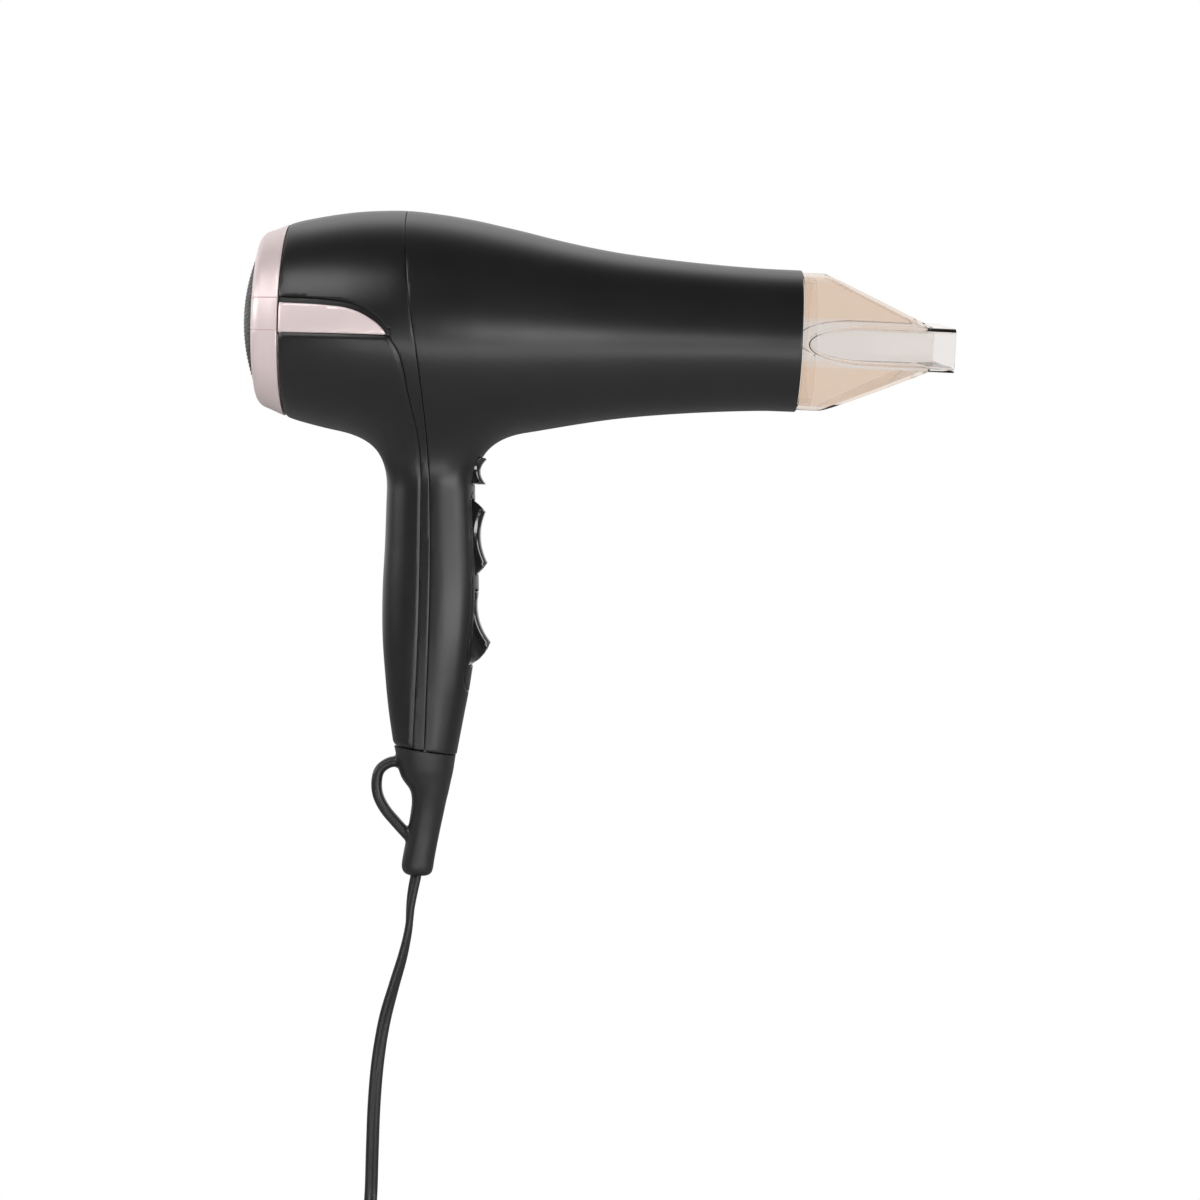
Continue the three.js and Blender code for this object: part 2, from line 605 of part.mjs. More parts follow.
function makeTrigger() {
  const half = trigger.width / 2;
  const face = spread(-1, 1, 8).map((s) => [
    triggerFace - trigger.dish * (1 - s * s), triggerZ + s * triggerHalf,
  ]);
  const bar = prism([[flangeRear + 1, trigger.bottom], ...face, [flangeRear + 1, trigger.top]], -half, half);
  const flange = block([flangeRear, flangeFront], [-flangeHalf, flangeHalf], flangeZ);
  return bar.add(flange);
}

function makeTriggerSpring() {
  const turns = 3;
  const stepsPerTurn = 12;
  const wire = 0.35;
  const count = turns * stepsPerTurn;
  const [x0, x1] = [microSwitchFront + wire + gap, flangeRear - wire - gap];
  const points = Array.from({ length: count + 1 }, (_, i) => {
    const angle = (2 * Math.PI * i) / stepsPerTurn;
    return [x0 + ((x1 - x0) * i) / count, 3 * Math.cos(angle), triggerZ + 3 * Math.sin(angle)];
  });
  return bentRod(points, wire, wire, 5, count);
}

const boardFront = Math.min(...rocker.heights.map(pivotX)) - 4.2 - boxes.switchDepth - gap;

function makeFrontHousing() {
  const pocket = frontPrism(plateOutline(gap), handle.axis + 4 - gap, farFront)
    .subtract(outerForm(plate.pocket));
  const slot = union(...rocker.heights.map((z) => rockerRoom(z, 2 * gap, 3 * gap)));
  const triggerSlot = block([handle.axis + 6, farFront], [-trigger.width / 2 - gap, trigger.width / 2 + gap],
    [trigger.bottom - gap, trigger.top + gap]);
  const coreEdge = cord.coreThickness / 2 + gap;
  const boss = (y) => rod(coreX(clamp.z) + coreEdge, farFront, screw.bossRadius, 16)
    .translate([0, y, clamp.z]).intersect(outerForm(1));
  const pilot = (y) => rod(-20, coreX(clamp.z) + coreEdge + 8, screw.radius + gap, 12)
    .translate([0, y, clamp.z]);
  return shell.intersect(frontRegion).subtract(pocket).subtract(slot).subtract(triggerSlot)
    .add(boss(clamp.screwY)).add(boss(-clamp.screwY))
    .subtract(pilot(clamp.screwY)).subtract(pilot(-clamp.screwY));
}

// ---------------------------------------------------------------- cord guard, clamp and cord

const bootTop = handle.bottom - gap;
const bootEnd = bootTop - boot.length;
const coreTop = clamp.z + 10;
const coreBend = curveThrough(coreLine);
const coreX = (z) => coreBend((z - bootEnd) / boot.length);

function makeCordCore() {
  const half = { across: cord.coreThickness / 2, along: cord.coreWidth / 2 };
  return stacked(bootEnd, coreTop, 8, 12, (z) => ({
    rear: coreX(z) - half.across, front: coreX(z) + half.across, half: half.along, power: 2.4,
  }));
}

function makeCordBoot() {
  const curves = [1, 2, 3].map((column) => curveThrough(bootShape, column));
  const body = stacked(bootEnd, bootTop + seamRise + 1, 14, 22, (z) => {
    const share = Math.max((bootTop - z) / boot.length, 0);
    const [rear, front, half] = curves.map((curve) => curve(share));
    return { rear, front, half, power: 2.2 };
  });
  const trimmed = body.intersect(below.translate([0, 0, -gap]));
  const neck = stacked(bootTop - 8, bootTop + 12, 1, 24, () => {
    const { rear, front, half } = handleSection(handle.bottom, wall + slideGap + 1.4);
    return { rear, front, half, power: 2.2 };
  });
  const bar = bentRod(hangLoopPath.map(([x, z]) => [x, 0, handle.bottom + z]), hangLoop.width / 2,
    hangLoop.thickness / 2, 10, 22);
  const bore = stacked(bootEnd - 5, coreTop, 9, 14, (z) => ({
    rear: coreX(z) - boot.boreRadius, front: coreX(z) + boot.boreRadius,
    half: boot.boreRadius, power: 2,
  }));
  return trimmed.add(neck).add(bar.intersect(below.translate([0, 0, -gap]))).subtract(bore);
}

function makeCordClamp() {
  const front = coreX(clamp.z) - cord.coreThickness / 2 - gap;
  const [z0, z1] = [clamp.z - clamp.height / 2, clamp.z + clamp.height / 2];
  const hole = (y) => rod(front - 20, front + 20, screw.radius + gap, 12).translate([0, y, clamp.z]);
  return block([front - clamp.depth, front], [-clamp.halfWidth, clamp.halfWidth], [z0, z1])
    .subtract(hole(clamp.screwY)).subtract(hole(-clamp.screwY));
}

function makeScrew(y) {
  const seat = coreX(clamp.z) - cord.coreThickness / 2 - gap - clamp.depth - gap;
  const { radius, headRadius, headHeight, length } = screw;
  return turned([
    [seat - headHeight, 0], [seat - headHeight, headRadius - 0.6], [seat - headHeight + 0.6, headRadius],
    [seat, headRadius], [seat, radius], [seat + length, radius], [seat + length, 0],
  ], 14).translate([0, y, clamp.z]);
}

// The free cord hangs from the cord guard and swings round onto the top of its coil.
function makePowerCord() {
  const last = cordDrop.at(-1);
  const landing = coil.top + gap + cord.radius;
  const sweep = 1.25;
  const bend = Array.from({ length: 7 }, (_, i) => {
    const angle = (sweep * (i + 1)) / 7;
    const share = (i + 1) / 7;
    const across = coil.columns[0];
    return [coilCentre.x - across * Math.cos(angle * share), -across * Math.sin(angle * share),
      landing + (last[2] - landing) * (1 - Math.sin((share * Math.PI) / 2))];
  });
  const start = [[coreX(bootEnd), 0, bootEnd - gap], [coreX(bootEnd) - 0.8, 0, bootEnd - gap - 5]];
  return bentRod([...start, ...cordDrop, ...bend], cord.radius, cord.radius, 8, 26);
}

function makeCoil() {
  const [inner, outer, bottom, top] = [coilInner, coilOuter, coil.bottom, coil.top];
  const cut = 2;
  return turned([
    [bottom, inner + cut], [bottom, outer - cut], [bottom + cut, outer], [top - cut, outer],
    [top, outer - cut], [top, inner + cut], [top - cut, inner], [bottom + cut, inner],
  ], 28).rotate([0, -90, 0]).translate([coilCentre.x, coilCentre.y, 0]);
}

function makeCordTie() {
  const [inner, outer, bottom, top] = [coilInner, coilOuter, coil.bottom, coil.top];
  const x = [coilCentre.x - tie.width / 2, coilCentre.x + tie.width / 2];
  const swell = outer - Math.sqrt(outer ** 2 - (tie.width / 2) ** 2);
  const y = [coilCentre.y + inner - gap - swell, coilCentre.y + outer + gap];
  const z = [bottom - gap, top + gap];
  const outside = block(x, [y[0] - tie.wall, y[1] + tie.wall], [z[0] - tie.wall / 2, z[1] + tie.wall]);
  return outside.subtract(block([x[0] - 1, x[1] + 1], y, z));
}

const plugZ = floorZ + plug.height / 2;
function makePlugBody() {
  const { rear, length, width, height } = plug;
  const form = frontPrism(roundedBox(-width / 2, width / 2, -height / 2, height / 2, 5), rear, rear + length);
  const relief = turned([
    [rear - plug.bootLength, 0], [rear - plug.bootLength, plug.bootRadius - 1.6],
    [rear + 1, plug.bootRadius], [rear + 1, 0],
  ], smallSides);
  const pins = [1, -1].map((side) => pinBlock(side, gap, rear + length - 8));
  return form.add(relief).subtract(union(...pins)).translate([0, plugY, plugZ]);
}

function pinBlock(side, margin, from) {
  const y = (side * pin.spacing) / 2;
  const to = plug.rear + plug.length + pin.length;
  return block([from, to], [y - pin.thickness / 2 - margin, y + pin.thickness / 2 + margin],
    [-pin.width / 2 - margin, pin.width / 2 + margin]);
}

function makePlugPin(side) {
  return pinBlock(side, 0, plug.rear + plug.length - 8 + gap).translate([0, plugY, plugZ]);
}

// The end of the cord, from the coil to the plug.
function makeCordTail() {
  const start = coilCentre.x + Math.sqrt(coilOuter ** 2 - (coil.columns[1] - cord.radius) ** 2) + 1;
  return bentRod([[start, plugY, plugZ], [plug.rear - plug.bootLength - gap, plugY, plugZ]],
    cord.radius, cord.radius, 8, 3);
}

// ---------------------------------------------------------------- assembly

add("front_housing", makeFrontHousing(), "satinBlack");
add("rear_housing", makeRearHousing(), "satinBlack");
add("handle_back", makeHandleBack(), "satinBlack");
add("side_trim_left", makeTrim(1), "roseGold");
add("side_trim_right", makeTrim(-1), "roseGold");

add("inlet_ring", makeInletRing(), "roseGold");
add("inlet_mesh", makeInletMesh(), "meshBlack");
add("inlet_guard", makeInletGuard(), "innerPlastic");

add("fan_impeller", makeFanImpeller(), "innerPlastic");
add("fan_duct", makeFanDuct(), "innerPlastic");
add("motor_case", makeMotorCase(), "steel");
add("motor_end_cap", makeMotorEndCap(), "innerPlastic");
add("motor_shaft", rod(fanRear + 0.5, motor.front + motor.capLength + 1, motor.shaftRadius, 16), "steel");
add("motor_armature", makeArmature(), "copper");
add("motor_commutator", tubeX(...commutatorSpan, shaftBore, motor.commutatorRadius, smallSides), "copper");
add("motor_bearing_rear", bearing(motor.rear + 0.3), "brass");
add("motor_bearing_front", bearing(motor.front + gap + 1.7), "brass");
add("magnet_upper", makeMagnet(1), "magnet");
add("magnet_lower", makeMagnet(-1), "magnet");
add("brush_left", makeBrush(1), "magnet");
add("brush_right", makeBrush(-1), "magnet");

add("mica_board_upright", makeMicaBoard(true), "mica");
add("mica_board_level", makeMicaBoard(false), "mica");
add("heating_coil", makeHeatingCoil(), "nichrome");
add("heater_sleeve", tubeX(heater.rear, heater.front, sleeveBore, sleeveRadius), "mica");
const onBoard = heater.boardThickness / 2 + gap;
add("thermal_cutout", block([heater.rear + 6, heater.rear + 18], [4, 12], [onBoard, onBoard + 4]), "steel");
add("thermal_fuse", rod(0, 9, 1.6, 12).translate([heater.rear + 24, -9, onBoard + 1.6]), "steel");
add("outlet_grille", makeOutletGrille(), "satinBlack");

const nozzleTurn = new THREE.Group();
nozzleTurn.rotation.x = THREE.MathUtils.degToRad(nozzle.turn);
root.add(nozzleTurn);
add("nozzle", makeNozzle(), "peach", nozzleTurn);
add("nozzle_collar", makeNozzleCollar(), "satinBlack");

add("switch_plate", makeSwitchPlate(), "satinBlack");
["speed", "heat"].forEach((use, i) => {
  const z = rocker.heights[i];
  const pivot = new THREE.Group();
  pivot.position.set(pivotX(z), 0, z);
  pivot.rotation.y = THREE.MathUtils.degToRad(-rocker.rest[i]);
  root.add(pivot);
  add(`${use}_rocker`, makeRocker(), "glossBlack", pivot);
  add(`${use}_switch`, makeSwitchBody(z), "innerPlastic");
});
add("cool_shot_trigger", makeTrigger(), "glossBlack");
add("cool_shot_spring", makeTriggerSpring(), "steel");
add("cool_shot_switch", block([microSwitchFront - 7, microSwitchFront], [-4, 4],
  [trigger.bottom, trigger.top]), "innerPlastic");
add("switch_board", block([boardFront - boxes.boardThickness, boardFront], [-9, 9],
  [plate.bottom + 4, plate.top - 3]), "boardGreen");

add("cord_core", makeCordCore(), "cordBlack");
add("cord_boot", makeCordBoot(), "satinBlack");
add("cord_clamp", makeCordClamp(), "innerPlastic");
add("clamp_screw_left", makeScrew(clamp.screwY), "steel");
add("clamp_screw_right", makeScrew(-clamp.screwY), "steel");
add("power_cord", makePowerCord(), "cordBlack");
add("cord_coil", makeCoil(), "cordBlack");
add("cord_tie", makeCordTie(), "cordBlack");
add("cord_tail", makeCordTail(), "cordBlack");
add("plug_body", makePlugBody(), "satinBlack");
add("plug_pin_left", makePlugPin(1), "brass");
add("plug_pin_right", makePlugPin(-1), "brass");

root.position.set(-grip.x, 0, -grip.z);
const group = new THREE.Group();
group.add(root);
export default group;
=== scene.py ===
# %% [markdown]
# A hair dryer, finished for looks around its engineering model.
# The engineering model gives the bodies, the joints and the size. This script dresses it: smooth shells
# with thin parting lines, a clear nozzle, glossy buttons, a woven inlet screen and a real length of cord.
# Each step below says what a piece is on the real dryer and why it is made this way.

# %% Load the engineering model
import json
import math

import bmesh
import bpy
import numpy as np
from mathutils import Matrix, Vector

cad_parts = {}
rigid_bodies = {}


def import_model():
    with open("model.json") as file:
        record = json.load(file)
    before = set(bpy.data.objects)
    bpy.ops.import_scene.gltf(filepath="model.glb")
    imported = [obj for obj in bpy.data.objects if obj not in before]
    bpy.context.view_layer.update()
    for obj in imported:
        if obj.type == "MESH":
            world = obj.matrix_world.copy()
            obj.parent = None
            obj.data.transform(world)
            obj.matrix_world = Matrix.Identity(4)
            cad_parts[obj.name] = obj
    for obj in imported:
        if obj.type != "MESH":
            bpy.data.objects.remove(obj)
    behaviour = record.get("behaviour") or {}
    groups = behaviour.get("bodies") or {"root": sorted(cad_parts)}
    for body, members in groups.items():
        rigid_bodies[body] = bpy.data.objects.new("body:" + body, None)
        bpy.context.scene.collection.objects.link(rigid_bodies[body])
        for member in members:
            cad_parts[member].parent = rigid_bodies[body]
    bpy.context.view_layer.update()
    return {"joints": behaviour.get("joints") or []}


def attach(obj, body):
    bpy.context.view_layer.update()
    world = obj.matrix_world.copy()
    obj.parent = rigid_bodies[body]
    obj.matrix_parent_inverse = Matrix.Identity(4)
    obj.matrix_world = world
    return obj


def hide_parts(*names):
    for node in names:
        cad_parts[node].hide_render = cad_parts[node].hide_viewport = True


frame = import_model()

# %% [markdown]
# Working units. Blender's metres are clumsy for a thing this small, and a bevel or a remesh works badly
# on numbers of a few thousandths. So every new mesh is drawn in millimetres with the barrel's axis on the
# X axis. The last step of each piece scales it and moves it into the frame, whose origin is the hand grip.

# %% From barrel millimetres to the frame
MM = 0.001
AXIS_HEIGHT = next(j["pos_m"][2] for j in frame["joints"] if j["name"] == "fan_spin") / MM
GRIP_X = 2.5
TO_FRAME = Matrix.Translation((-GRIP_X * MM, 0, AXIS_HEIGHT * MM)) @ Matrix.Scale(MM, 4)


def in_frame(x, y, z):
    return tuple(TO_FRAME @ Vector((x, y, z)))


print("barrel axis is", AXIS_HEIGHT, "mm above the grip's centre")

# %% [markdown]
# The camera looks squarely at the dryer's right side, from about a metre away, with a short telephoto
# lens. The dryer is seen a little tilted, so the camera is rolled rather than the model, which keeps the
# model in its own upright frame.

# %% Camera
VIEW_CENTRE = (71.6, 0.0, -106.6)
VIEW_DISTANCE = 1060.0
FIELD = 480.0
SENSOR = 36.0
ROLL = math.radians(2.35)

camera_data = bpy.data.cameras.new("camera")
camera_data.sensor_width = SENSOR
camera_data.lens = SENSOR * VIEW_DISTANCE / FIELD
camera = bpy.data.objects.new("camera", camera_data)
centre = Vector(in_frame(*VIEW_CENTRE))
camera.matrix_world = (
    Matrix.Translation(centre - Vector((0, VIEW_DISTANCE * MM, 0)))
    @ Matrix.Rotation(math.pi / 2, 4, "X")
    @ Matrix.Rotation(ROLL, 4, "Z")
)
bpy.context.collection.objects.link(camera)
bpy.context.scene.camera = camera
print("lens", round(camera_data.lens, 1), "mm")

# %% [markdown]
# Small tools. A smooth curve through a few measured points draws every outline. A finished bmesh becomes an
# object with one material and rides on a body of the engineering model.


# %% Smooth curves through a few points
def curve_through(rows, column=1):
    """A smooth function through rows of (at, value, value, ...), level beyond its ends."""
    at = np.array([row[0] for row in rows], float)
    value = np.array([row[column] for row in rows], float)
    slope = np.gradient(value, at)
    slope[1:-1] = (value[2:] - value[:-2]) / (at[2:] - at[:-2])

    def curve(where):
        where = np.clip(where, at[0], at[-1])
        i = np.clip(np.searchsorted(at, where, side="right") - 1, 0, len(at) - 2)
        step = at[i + 1] - at[i]
        t = (where - at[i]) / step
        ease = t * t * (3 - 2 * t)
        lean = slope[i] * t * (1 - t) ** 2 - slope[i + 1] * t * t * (1 - t)
        return value[i] + (value[i + 1] - value[i]) * ease + lean * step

    return curve


# %% Finish a mesh as a piece
def as_object(name, mesh):
    item = bpy.data.objects.new(name, mesh)
    bpy.context.collection.objects.link(item)
    return item


def mesh_from(bm, name="part"):
    mesh = bpy.data.meshes.new(name)
    bm.to_mesh(mesh)
    bm.free()
    return mesh


def bmesh_from(mesh):
    bm = bmesh.new()
    bm.from_mesh(mesh)
    return bm


def modified(mesh, kind, **settings):
    """The mesh with one modifier applied, worked out on an object that is then thrown away."""
    item = as_object("working", mesh)
    modifier = item.modifiers.new(kind.lower(), kind)
    for key, value in settings.items():
        setattr(modifier, key, value)
    graph = bpy.context.evaluated_depsgraph_get()
    result = bpy.data.meshes.new_from_object(item.evaluated_get(graph))
    bpy.data.objects.remove(item)
    return result


def combined(mesh, other, operation):
    cutter = as_object("cutter", other)
    result = modified(mesh, "BOOLEAN", object=cutter, operation=operation, solver="MANIFOLD")
    bpy.data.objects.remove(cutter)
    return result


def finish_piece(name, bm, material, body, sharp=35):
    """Moves a mesh from millimetres into the frame and hands it over as a named piece."""
    bm.transform(TO_FRAME)
    mesh = mesh_from(bm, name)
    mesh.polygons.foreach_set("use_smooth", [True] * len(mesh.polygons))
    if sharp:
        mesh.set_sharp_from_angle(angle=math.radians(sharp))
    mesh.materials.append(material)
    piece = as_object(name, mesh)
    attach(piece, body)
    print(name, len(mesh.polygons), "faces")
    return piece


# %% Shapes that many pieces start from
def spun(profile, steps):
    """Turns an outline of (x, radius) points about the barrel's axis."""
    bm = bmesh.new()
    verts = [bm.verts.new((x, 0, r)) for x, r in profile]
    edges = [bm.edges.new(pair) for pair in zip(verts, verts[1:])]
    if profile[0][1] > 0 or profile[-1][1] > 0:
        edges.append(bm.edges.new((verts[-1], verts[0])))
    bmesh.ops.spin(bm, geom=verts + edges, cent=(0, 0, 0), axis=(1, 0, 0), angle=2 * math.pi, steps=steps,
                   use_merge=True)
    bmesh.ops.remove_doubles(bm, verts=bm.verts, dist=1e-4)
    bmesh.ops.dissolve_degenerate(bm, edges=bm.edges, dist=1e-5)
    bmesh.ops.recalc_face_normals(bm, faces=bm.faces)
    return bm


def lofted(levels, section, sides):
    """Stacks rings of section(level) points, bridges each to the next and closes both ends."""
    bm = bmesh.new()
    rings = []
    for level in levels:
        ring = bmesh.ops.create_circle(bm, segments=sides, radius=1)["verts"]
        for vert in ring:
            vert.co = section(level, math.atan2(vert.co.y, vert.co.x))
        rings.append({edge for vert in ring for edge in vert.link_edges})
    for low, high in zip(rings, rings[1:]):
        bmesh.ops.bridge_loops(bm, edges=list(low | high))
    bmesh.ops.holes_fill(bm, edges=list(rings[0]))
    bmesh.ops.holes_fill(bm, edges=list(rings[-1]))
    bmesh.ops.recalc_face_normals(bm, faces=bm.faces)
    return bm


def prism(outline, low, high):
    """A flat outline of (x, z) points pulled straight along Y."""
    bm = bmesh.new()
    face = bm.faces.new([bm.verts.new((x, low, z)) for x, z in outline])
    pulled = bmesh.ops.extrude_face_region(bm, geom=[face])["geom"]
    moved = [item for item in pulled if isinstance(item, bmesh.types.BMVert)]
    bmesh.ops.translate(bm, verts=moved, vec=(0, high - low, 0))
    bmesh.ops.recalc_face_normals(bm, faces=bm.faces)
    return bm


def swept(path, section, wide_axes, closed=False):
    """Carries a section of (wide, thick) points along a path. wide_axes gives the wide direction."""
    bm = bmesh.new()
    points = [Vector(p) for p in path]
    count = len(points)
    rings = []
    for i, point in enumerate(points):
        before = points[i - 1] if i or closed else point
        after = points[(i + 1) % count] if i < count - 1 or closed else point
        along = (after - before).normalized()
        wide = Vector(wide_axes[i])
        wide = (wide - along * wide.dot(along)).normalized()
        thick = along.cross(wide)
        rings.append([bm.verts.new(point + wide * a + thick * b) for a, b in section])
    pairs = list(zip(rings, rings[1:])) + ([(rings[-1], rings[0])] if closed else [])
    for low, high in pairs:
        for k in range(len(section)):
            n = (k + 1) % len(section)
            bm.faces.new((low[k], low[n], high[n], high[k]))
    if not closed:
        bm.faces.new(rings[0][::-1])
        bm.faces.new(rings[-1])
    bmesh.ops.recalc_face_normals(bm, faces=bm.faces)
    return bm


def everything(bm):
    return bm.verts[:] + bm.edges[:] + bm.faces[:]


def relax(bm):
    bmesh.ops.smooth_vert(bm, verts=bm.verts, factor=0.5, use_axis_x=True, use_axis_y=True, use_axis_z=True)


# %% [markdown]
# Materials. Plastics, metal and cord jacket are all built from the same effects: a very fine moulded
# grain, and slow changes of gloss and shade as handling leaves them. They come from one shader node group,
# so each material sets its own scale and strength and the shader itself stays in the material.


# %% A shader node group for moulded grain
def new_group(name, inputs, outputs):
    group = bpy.data.node_groups.new(name, "ShaderNodeTree")
    for label, value in inputs:
        socket = group.interface.new_socket(label, in_out="INPUT", socket_type="NodeSocketFloat")
        socket.default_value = value
    for label, kind in outputs:
        group.interface.new_socket(label, in_out="OUTPUT", socket_type=kind)
    enter = group.nodes.new("NodeGroupInput")
    leave = group.nodes.new("NodeGroupOutput")
    return group, enter, leave


def grain_group():
    """Fine moulded texture: a height for a Bump node and a gloss map around a middle value."""
    group, enter, leave = new_group(
        "moulded_grain",
        [("Grain Scale", 4000.0), ("Gloss Middle", 0.4), ("Gloss Spread", 0.06)],
        [("Height", "NodeSocketFloat"), ("Roughness", "NodeSocketFloat"), ("Shade", "NodeSocketFloat")],
    )
    nodes, links = group.nodes, group.links
    place = nodes.new("ShaderNodeTexCoord")
    fine = nodes.new("ShaderNodeTexNoise")
    fine.inputs["Detail"].default_value = 2
    slow = nodes.new("ShaderNodeTexNoise")
    slow.inputs["Scale"].default_value = 45
    slow.inputs["Detail"].default_value = 4
    links.new(place.outputs["Object"], fine.inputs["Vector"])
    links.new(place.outputs["Object"], slow.inputs["Vector"])
    links.new(enter.outputs["Grain Scale"], fine.inputs["Scale"])
    centred = nodes.new("ShaderNodeMath")
    centred.operation = "SUBTRACT"
    centred.inputs[1].default_value = 0.5
    links.new(slow.outputs["Fac"], centred.inputs[0])
    spread = nodes.new("ShaderNodeMath")
    spread.operation = "MULTIPLY_ADD"
    links.new(centred.outputs[0], spread.inputs[0])
    links.new(enter.outputs["Gloss Spread"], spread.inputs[1])
    links.new(enter.outputs["Gloss Middle"], spread.inputs[2])
    links.new(fine.outputs["Fac"], leave.inputs["Height"])
    links.new(spread.outputs[0], leave.inputs["Roughness"])
    links.new(slow.outputs["Fac"], leave.inputs["Shade"])
    return group


GRAIN = grain_group()
GRAIN_DEPTH = 0.00002


# %% Materials for plastic and metal
def grained(name, dark, light, gloss, spread):
    """A material whose colour and roughness vary slowly, with its shader and its grain node."""
    material = bpy.data.materials.new(name)
    material.use_nodes = True
    nodes, links = material.node_tree.nodes, material.node_tree.links
    shader = nodes["Principled BSDF"]
    effect = nodes.new("ShaderNodeGroup")
    effect.node_tree = GRAIN
    effect.inputs["Gloss Middle"].default_value = gloss
    effect.inputs["Gloss Spread"].default_value = spread
    colour = nodes.new("ShaderNodeMix")
    colour.data_type = "RGBA"
    colour.inputs["A"].default_value = (*dark, 1)
    colour.inputs["B"].default_value = (*light, 1)
    links.new(effect.outputs["Shade"], colour.inputs["Factor"])
    links.new(colour.outputs["Result"], shader.inputs["Base Color"])
    links.new(effect.outputs["Roughness"], shader.inputs["Roughness"])
    return material, shader, effect


def moulded(name, dark, light, gloss, spread=0.06, grain=4000, bump=0.15, metallic=0.0, coat=0.0,
            specular=0.5):
    """A moulded or plated surface: two near shades, a gloss map and a fine bump."""
    material, shader, effect = grained(name, dark, light, gloss, spread)
    nodes, links = material.node_tree.nodes, material.node_tree.links
    effect.inputs["Grain Scale"].default_value = grain
    bumped = nodes.new("ShaderNodeBump")
    bumped.inputs["Strength"].default_value = bump
    bumped.inputs["Distance"].default_value = GRAIN_DEPTH
    links.new(effect.outputs["Height"], bumped.inputs["Height"])
    links.new(bumped.outputs["Normal"], shader.inputs["Normal"])
    shader.inputs["Metallic"].default_value = metallic
    shader.inputs["Coat Weight"].default_value = coat
    shader.inputs["Specular IOR Level"].default_value = specular
    return material


def choose_shader(nodes, links, factor, first, second):
    """Leads a mix of two shaders to the surface: the first where factor is 0, the second where it is 1."""
    mix = nodes.new("ShaderNodeMixShader")
    links.new(factor, mix.inputs["Fac"])
    links.new(first.outputs[0], mix.inputs[1])
    links.new(second.outputs[0], mix.inputs[2])
    output = next(node for node in nodes if node.type.startswith("OUTPUT"))
    links.new(mix.outputs["Shader"], output.inputs["Surface"])


def grey(value):
    return (value, value, value)


SHELL = moulded("satin_black_shell", grey(0.008), grey(0.012), 0.33, 0.05, 3500, 0.3, specular=0.45)
GUARD = moulded("soft_black_guard", grey(0.008), grey(0.012), 0.40, 0.08, 2500, 0.35)
JACKET = moulded("cord_jacket", grey(0.008), grey(0.012), 0.38, 0.08, 2500, 0.25)
BUTTON = moulded("polished_black_button", grey(0.008), grey(0.010), 0.12, 0.03, 1500, 0.03, coat=0.3)
PLATE = moulded("switch_plate_black", grey(0.008), grey(0.011), 0.30, 0.05, 3500, 0.2)
ROSE = moulded("rose_gold_satin", (0.76, 0.635, 0.63), (0.80, 0.67, 0.665), 0.36, 0.05, 6000, 0.06,
               metallic=0.25)
INNER = moulded("grey_inner_moulding", grey(0.20), grey(0.25), 0.5, 0.1, 1800, 0.3)
HEAT_BLACK = moulded("black_heatproof_moulding", grey(0.012), grey(0.016), 0.45, 0.08, 2500, 0.3)
STEEL = moulded("plated_steel", grey(0.50), grey(0.60), 0.28, 0.12, 1500, 0.1, metallic=1.0)
COPPER = moulded("copper_winding", (0.55, 0.24, 0.12), (0.75, 0.38, 0.2), 0.35, 0.1, 3000, 0.5,
                 metallic=1.0)
BRONZE = moulded("sintered_bronze", (0.42, 0.28, 0.10), (0.56, 0.40, 0.18), 0.42, 0.1, 2500, 0.4,
                 metallic=1.0)
BRASS = moulded("bright_brass", (0.70, 0.53, 0.24), (0.80, 0.64, 0.33), 0.22, 0.08, 2000, 0.08,
                metallic=1.0)
FERRITE = moulded("dark_ferrite", grey(0.03), grey(0.05), 0.6, 0.12, 1500, 0.5)
MICA = moulded("mottled_mica", (0.30, 0.23, 0.14), (0.52, 0.43, 0.30), 0.5, 0.2, 700, 0.3)
NICHROME = moulded("resistance_wire", (0.28, 0.23, 0.20), (0.42, 0.37, 0.33), 0.4, 0.1, 3000, 0.2,
                   metallic=1.0)
BOARD = moulded("green_laminate", (0.015, 0.09, 0.035), (0.03, 0.14, 0.06), 0.4, 0.1, 1200, 0.2)
WIRE = moulded("black_screen_wire", grey(0.10), grey(0.20), 0.3, 0.1, 3000, 0.2, metallic=0.7)
print(len(bpy.data.materials), "materials")

# %% [markdown]
# The clear nozzle is tinted plastic. It needs its own shader settings: full transmission, a low roughness
# and an index of refraction, lower than a solid block's, because the walls are thin. Shadow rays are let
# through, or the inside of a clear part turns black; Light Path does that in the material itself.


# %% Material for the clear nozzle
def clear_plastic(name, tint, roughness, ior):
    material, shader, _ = grained(name, tint, [c * 0.97 for c in tint], roughness, 0.03)
    nodes, links = material.node_tree.nodes, material.node_tree.links
    shader.inputs["Transmission Weight"].default_value = 1.0
    shader.inputs["IOR"].default_value = ior
    through = nodes.new("ShaderNodeBsdfTransparent")
    through.inputs["Color"].default_value = (*[c ** 0.5 for c in tint], 1)
    light_path = nodes.new("ShaderNodeLightPath")
    choose_shader(nodes, links, light_path.outputs["Is Shadow Ray"], shader, through)
    return material


CLEAR = clear_plastic("clear_peach", (0.86, 0.765, 0.69), 0.05, 1.14)
CLEAR_DUCT = clear_plastic("clear_pale_peach", (0.85, 0.82, 0.80), 0.05, 1.14)
CLEAR_COLLAR = clear_plastic("clear_thin_collar", (0.97, 0.95, 0.93), 0.08, 1.08)
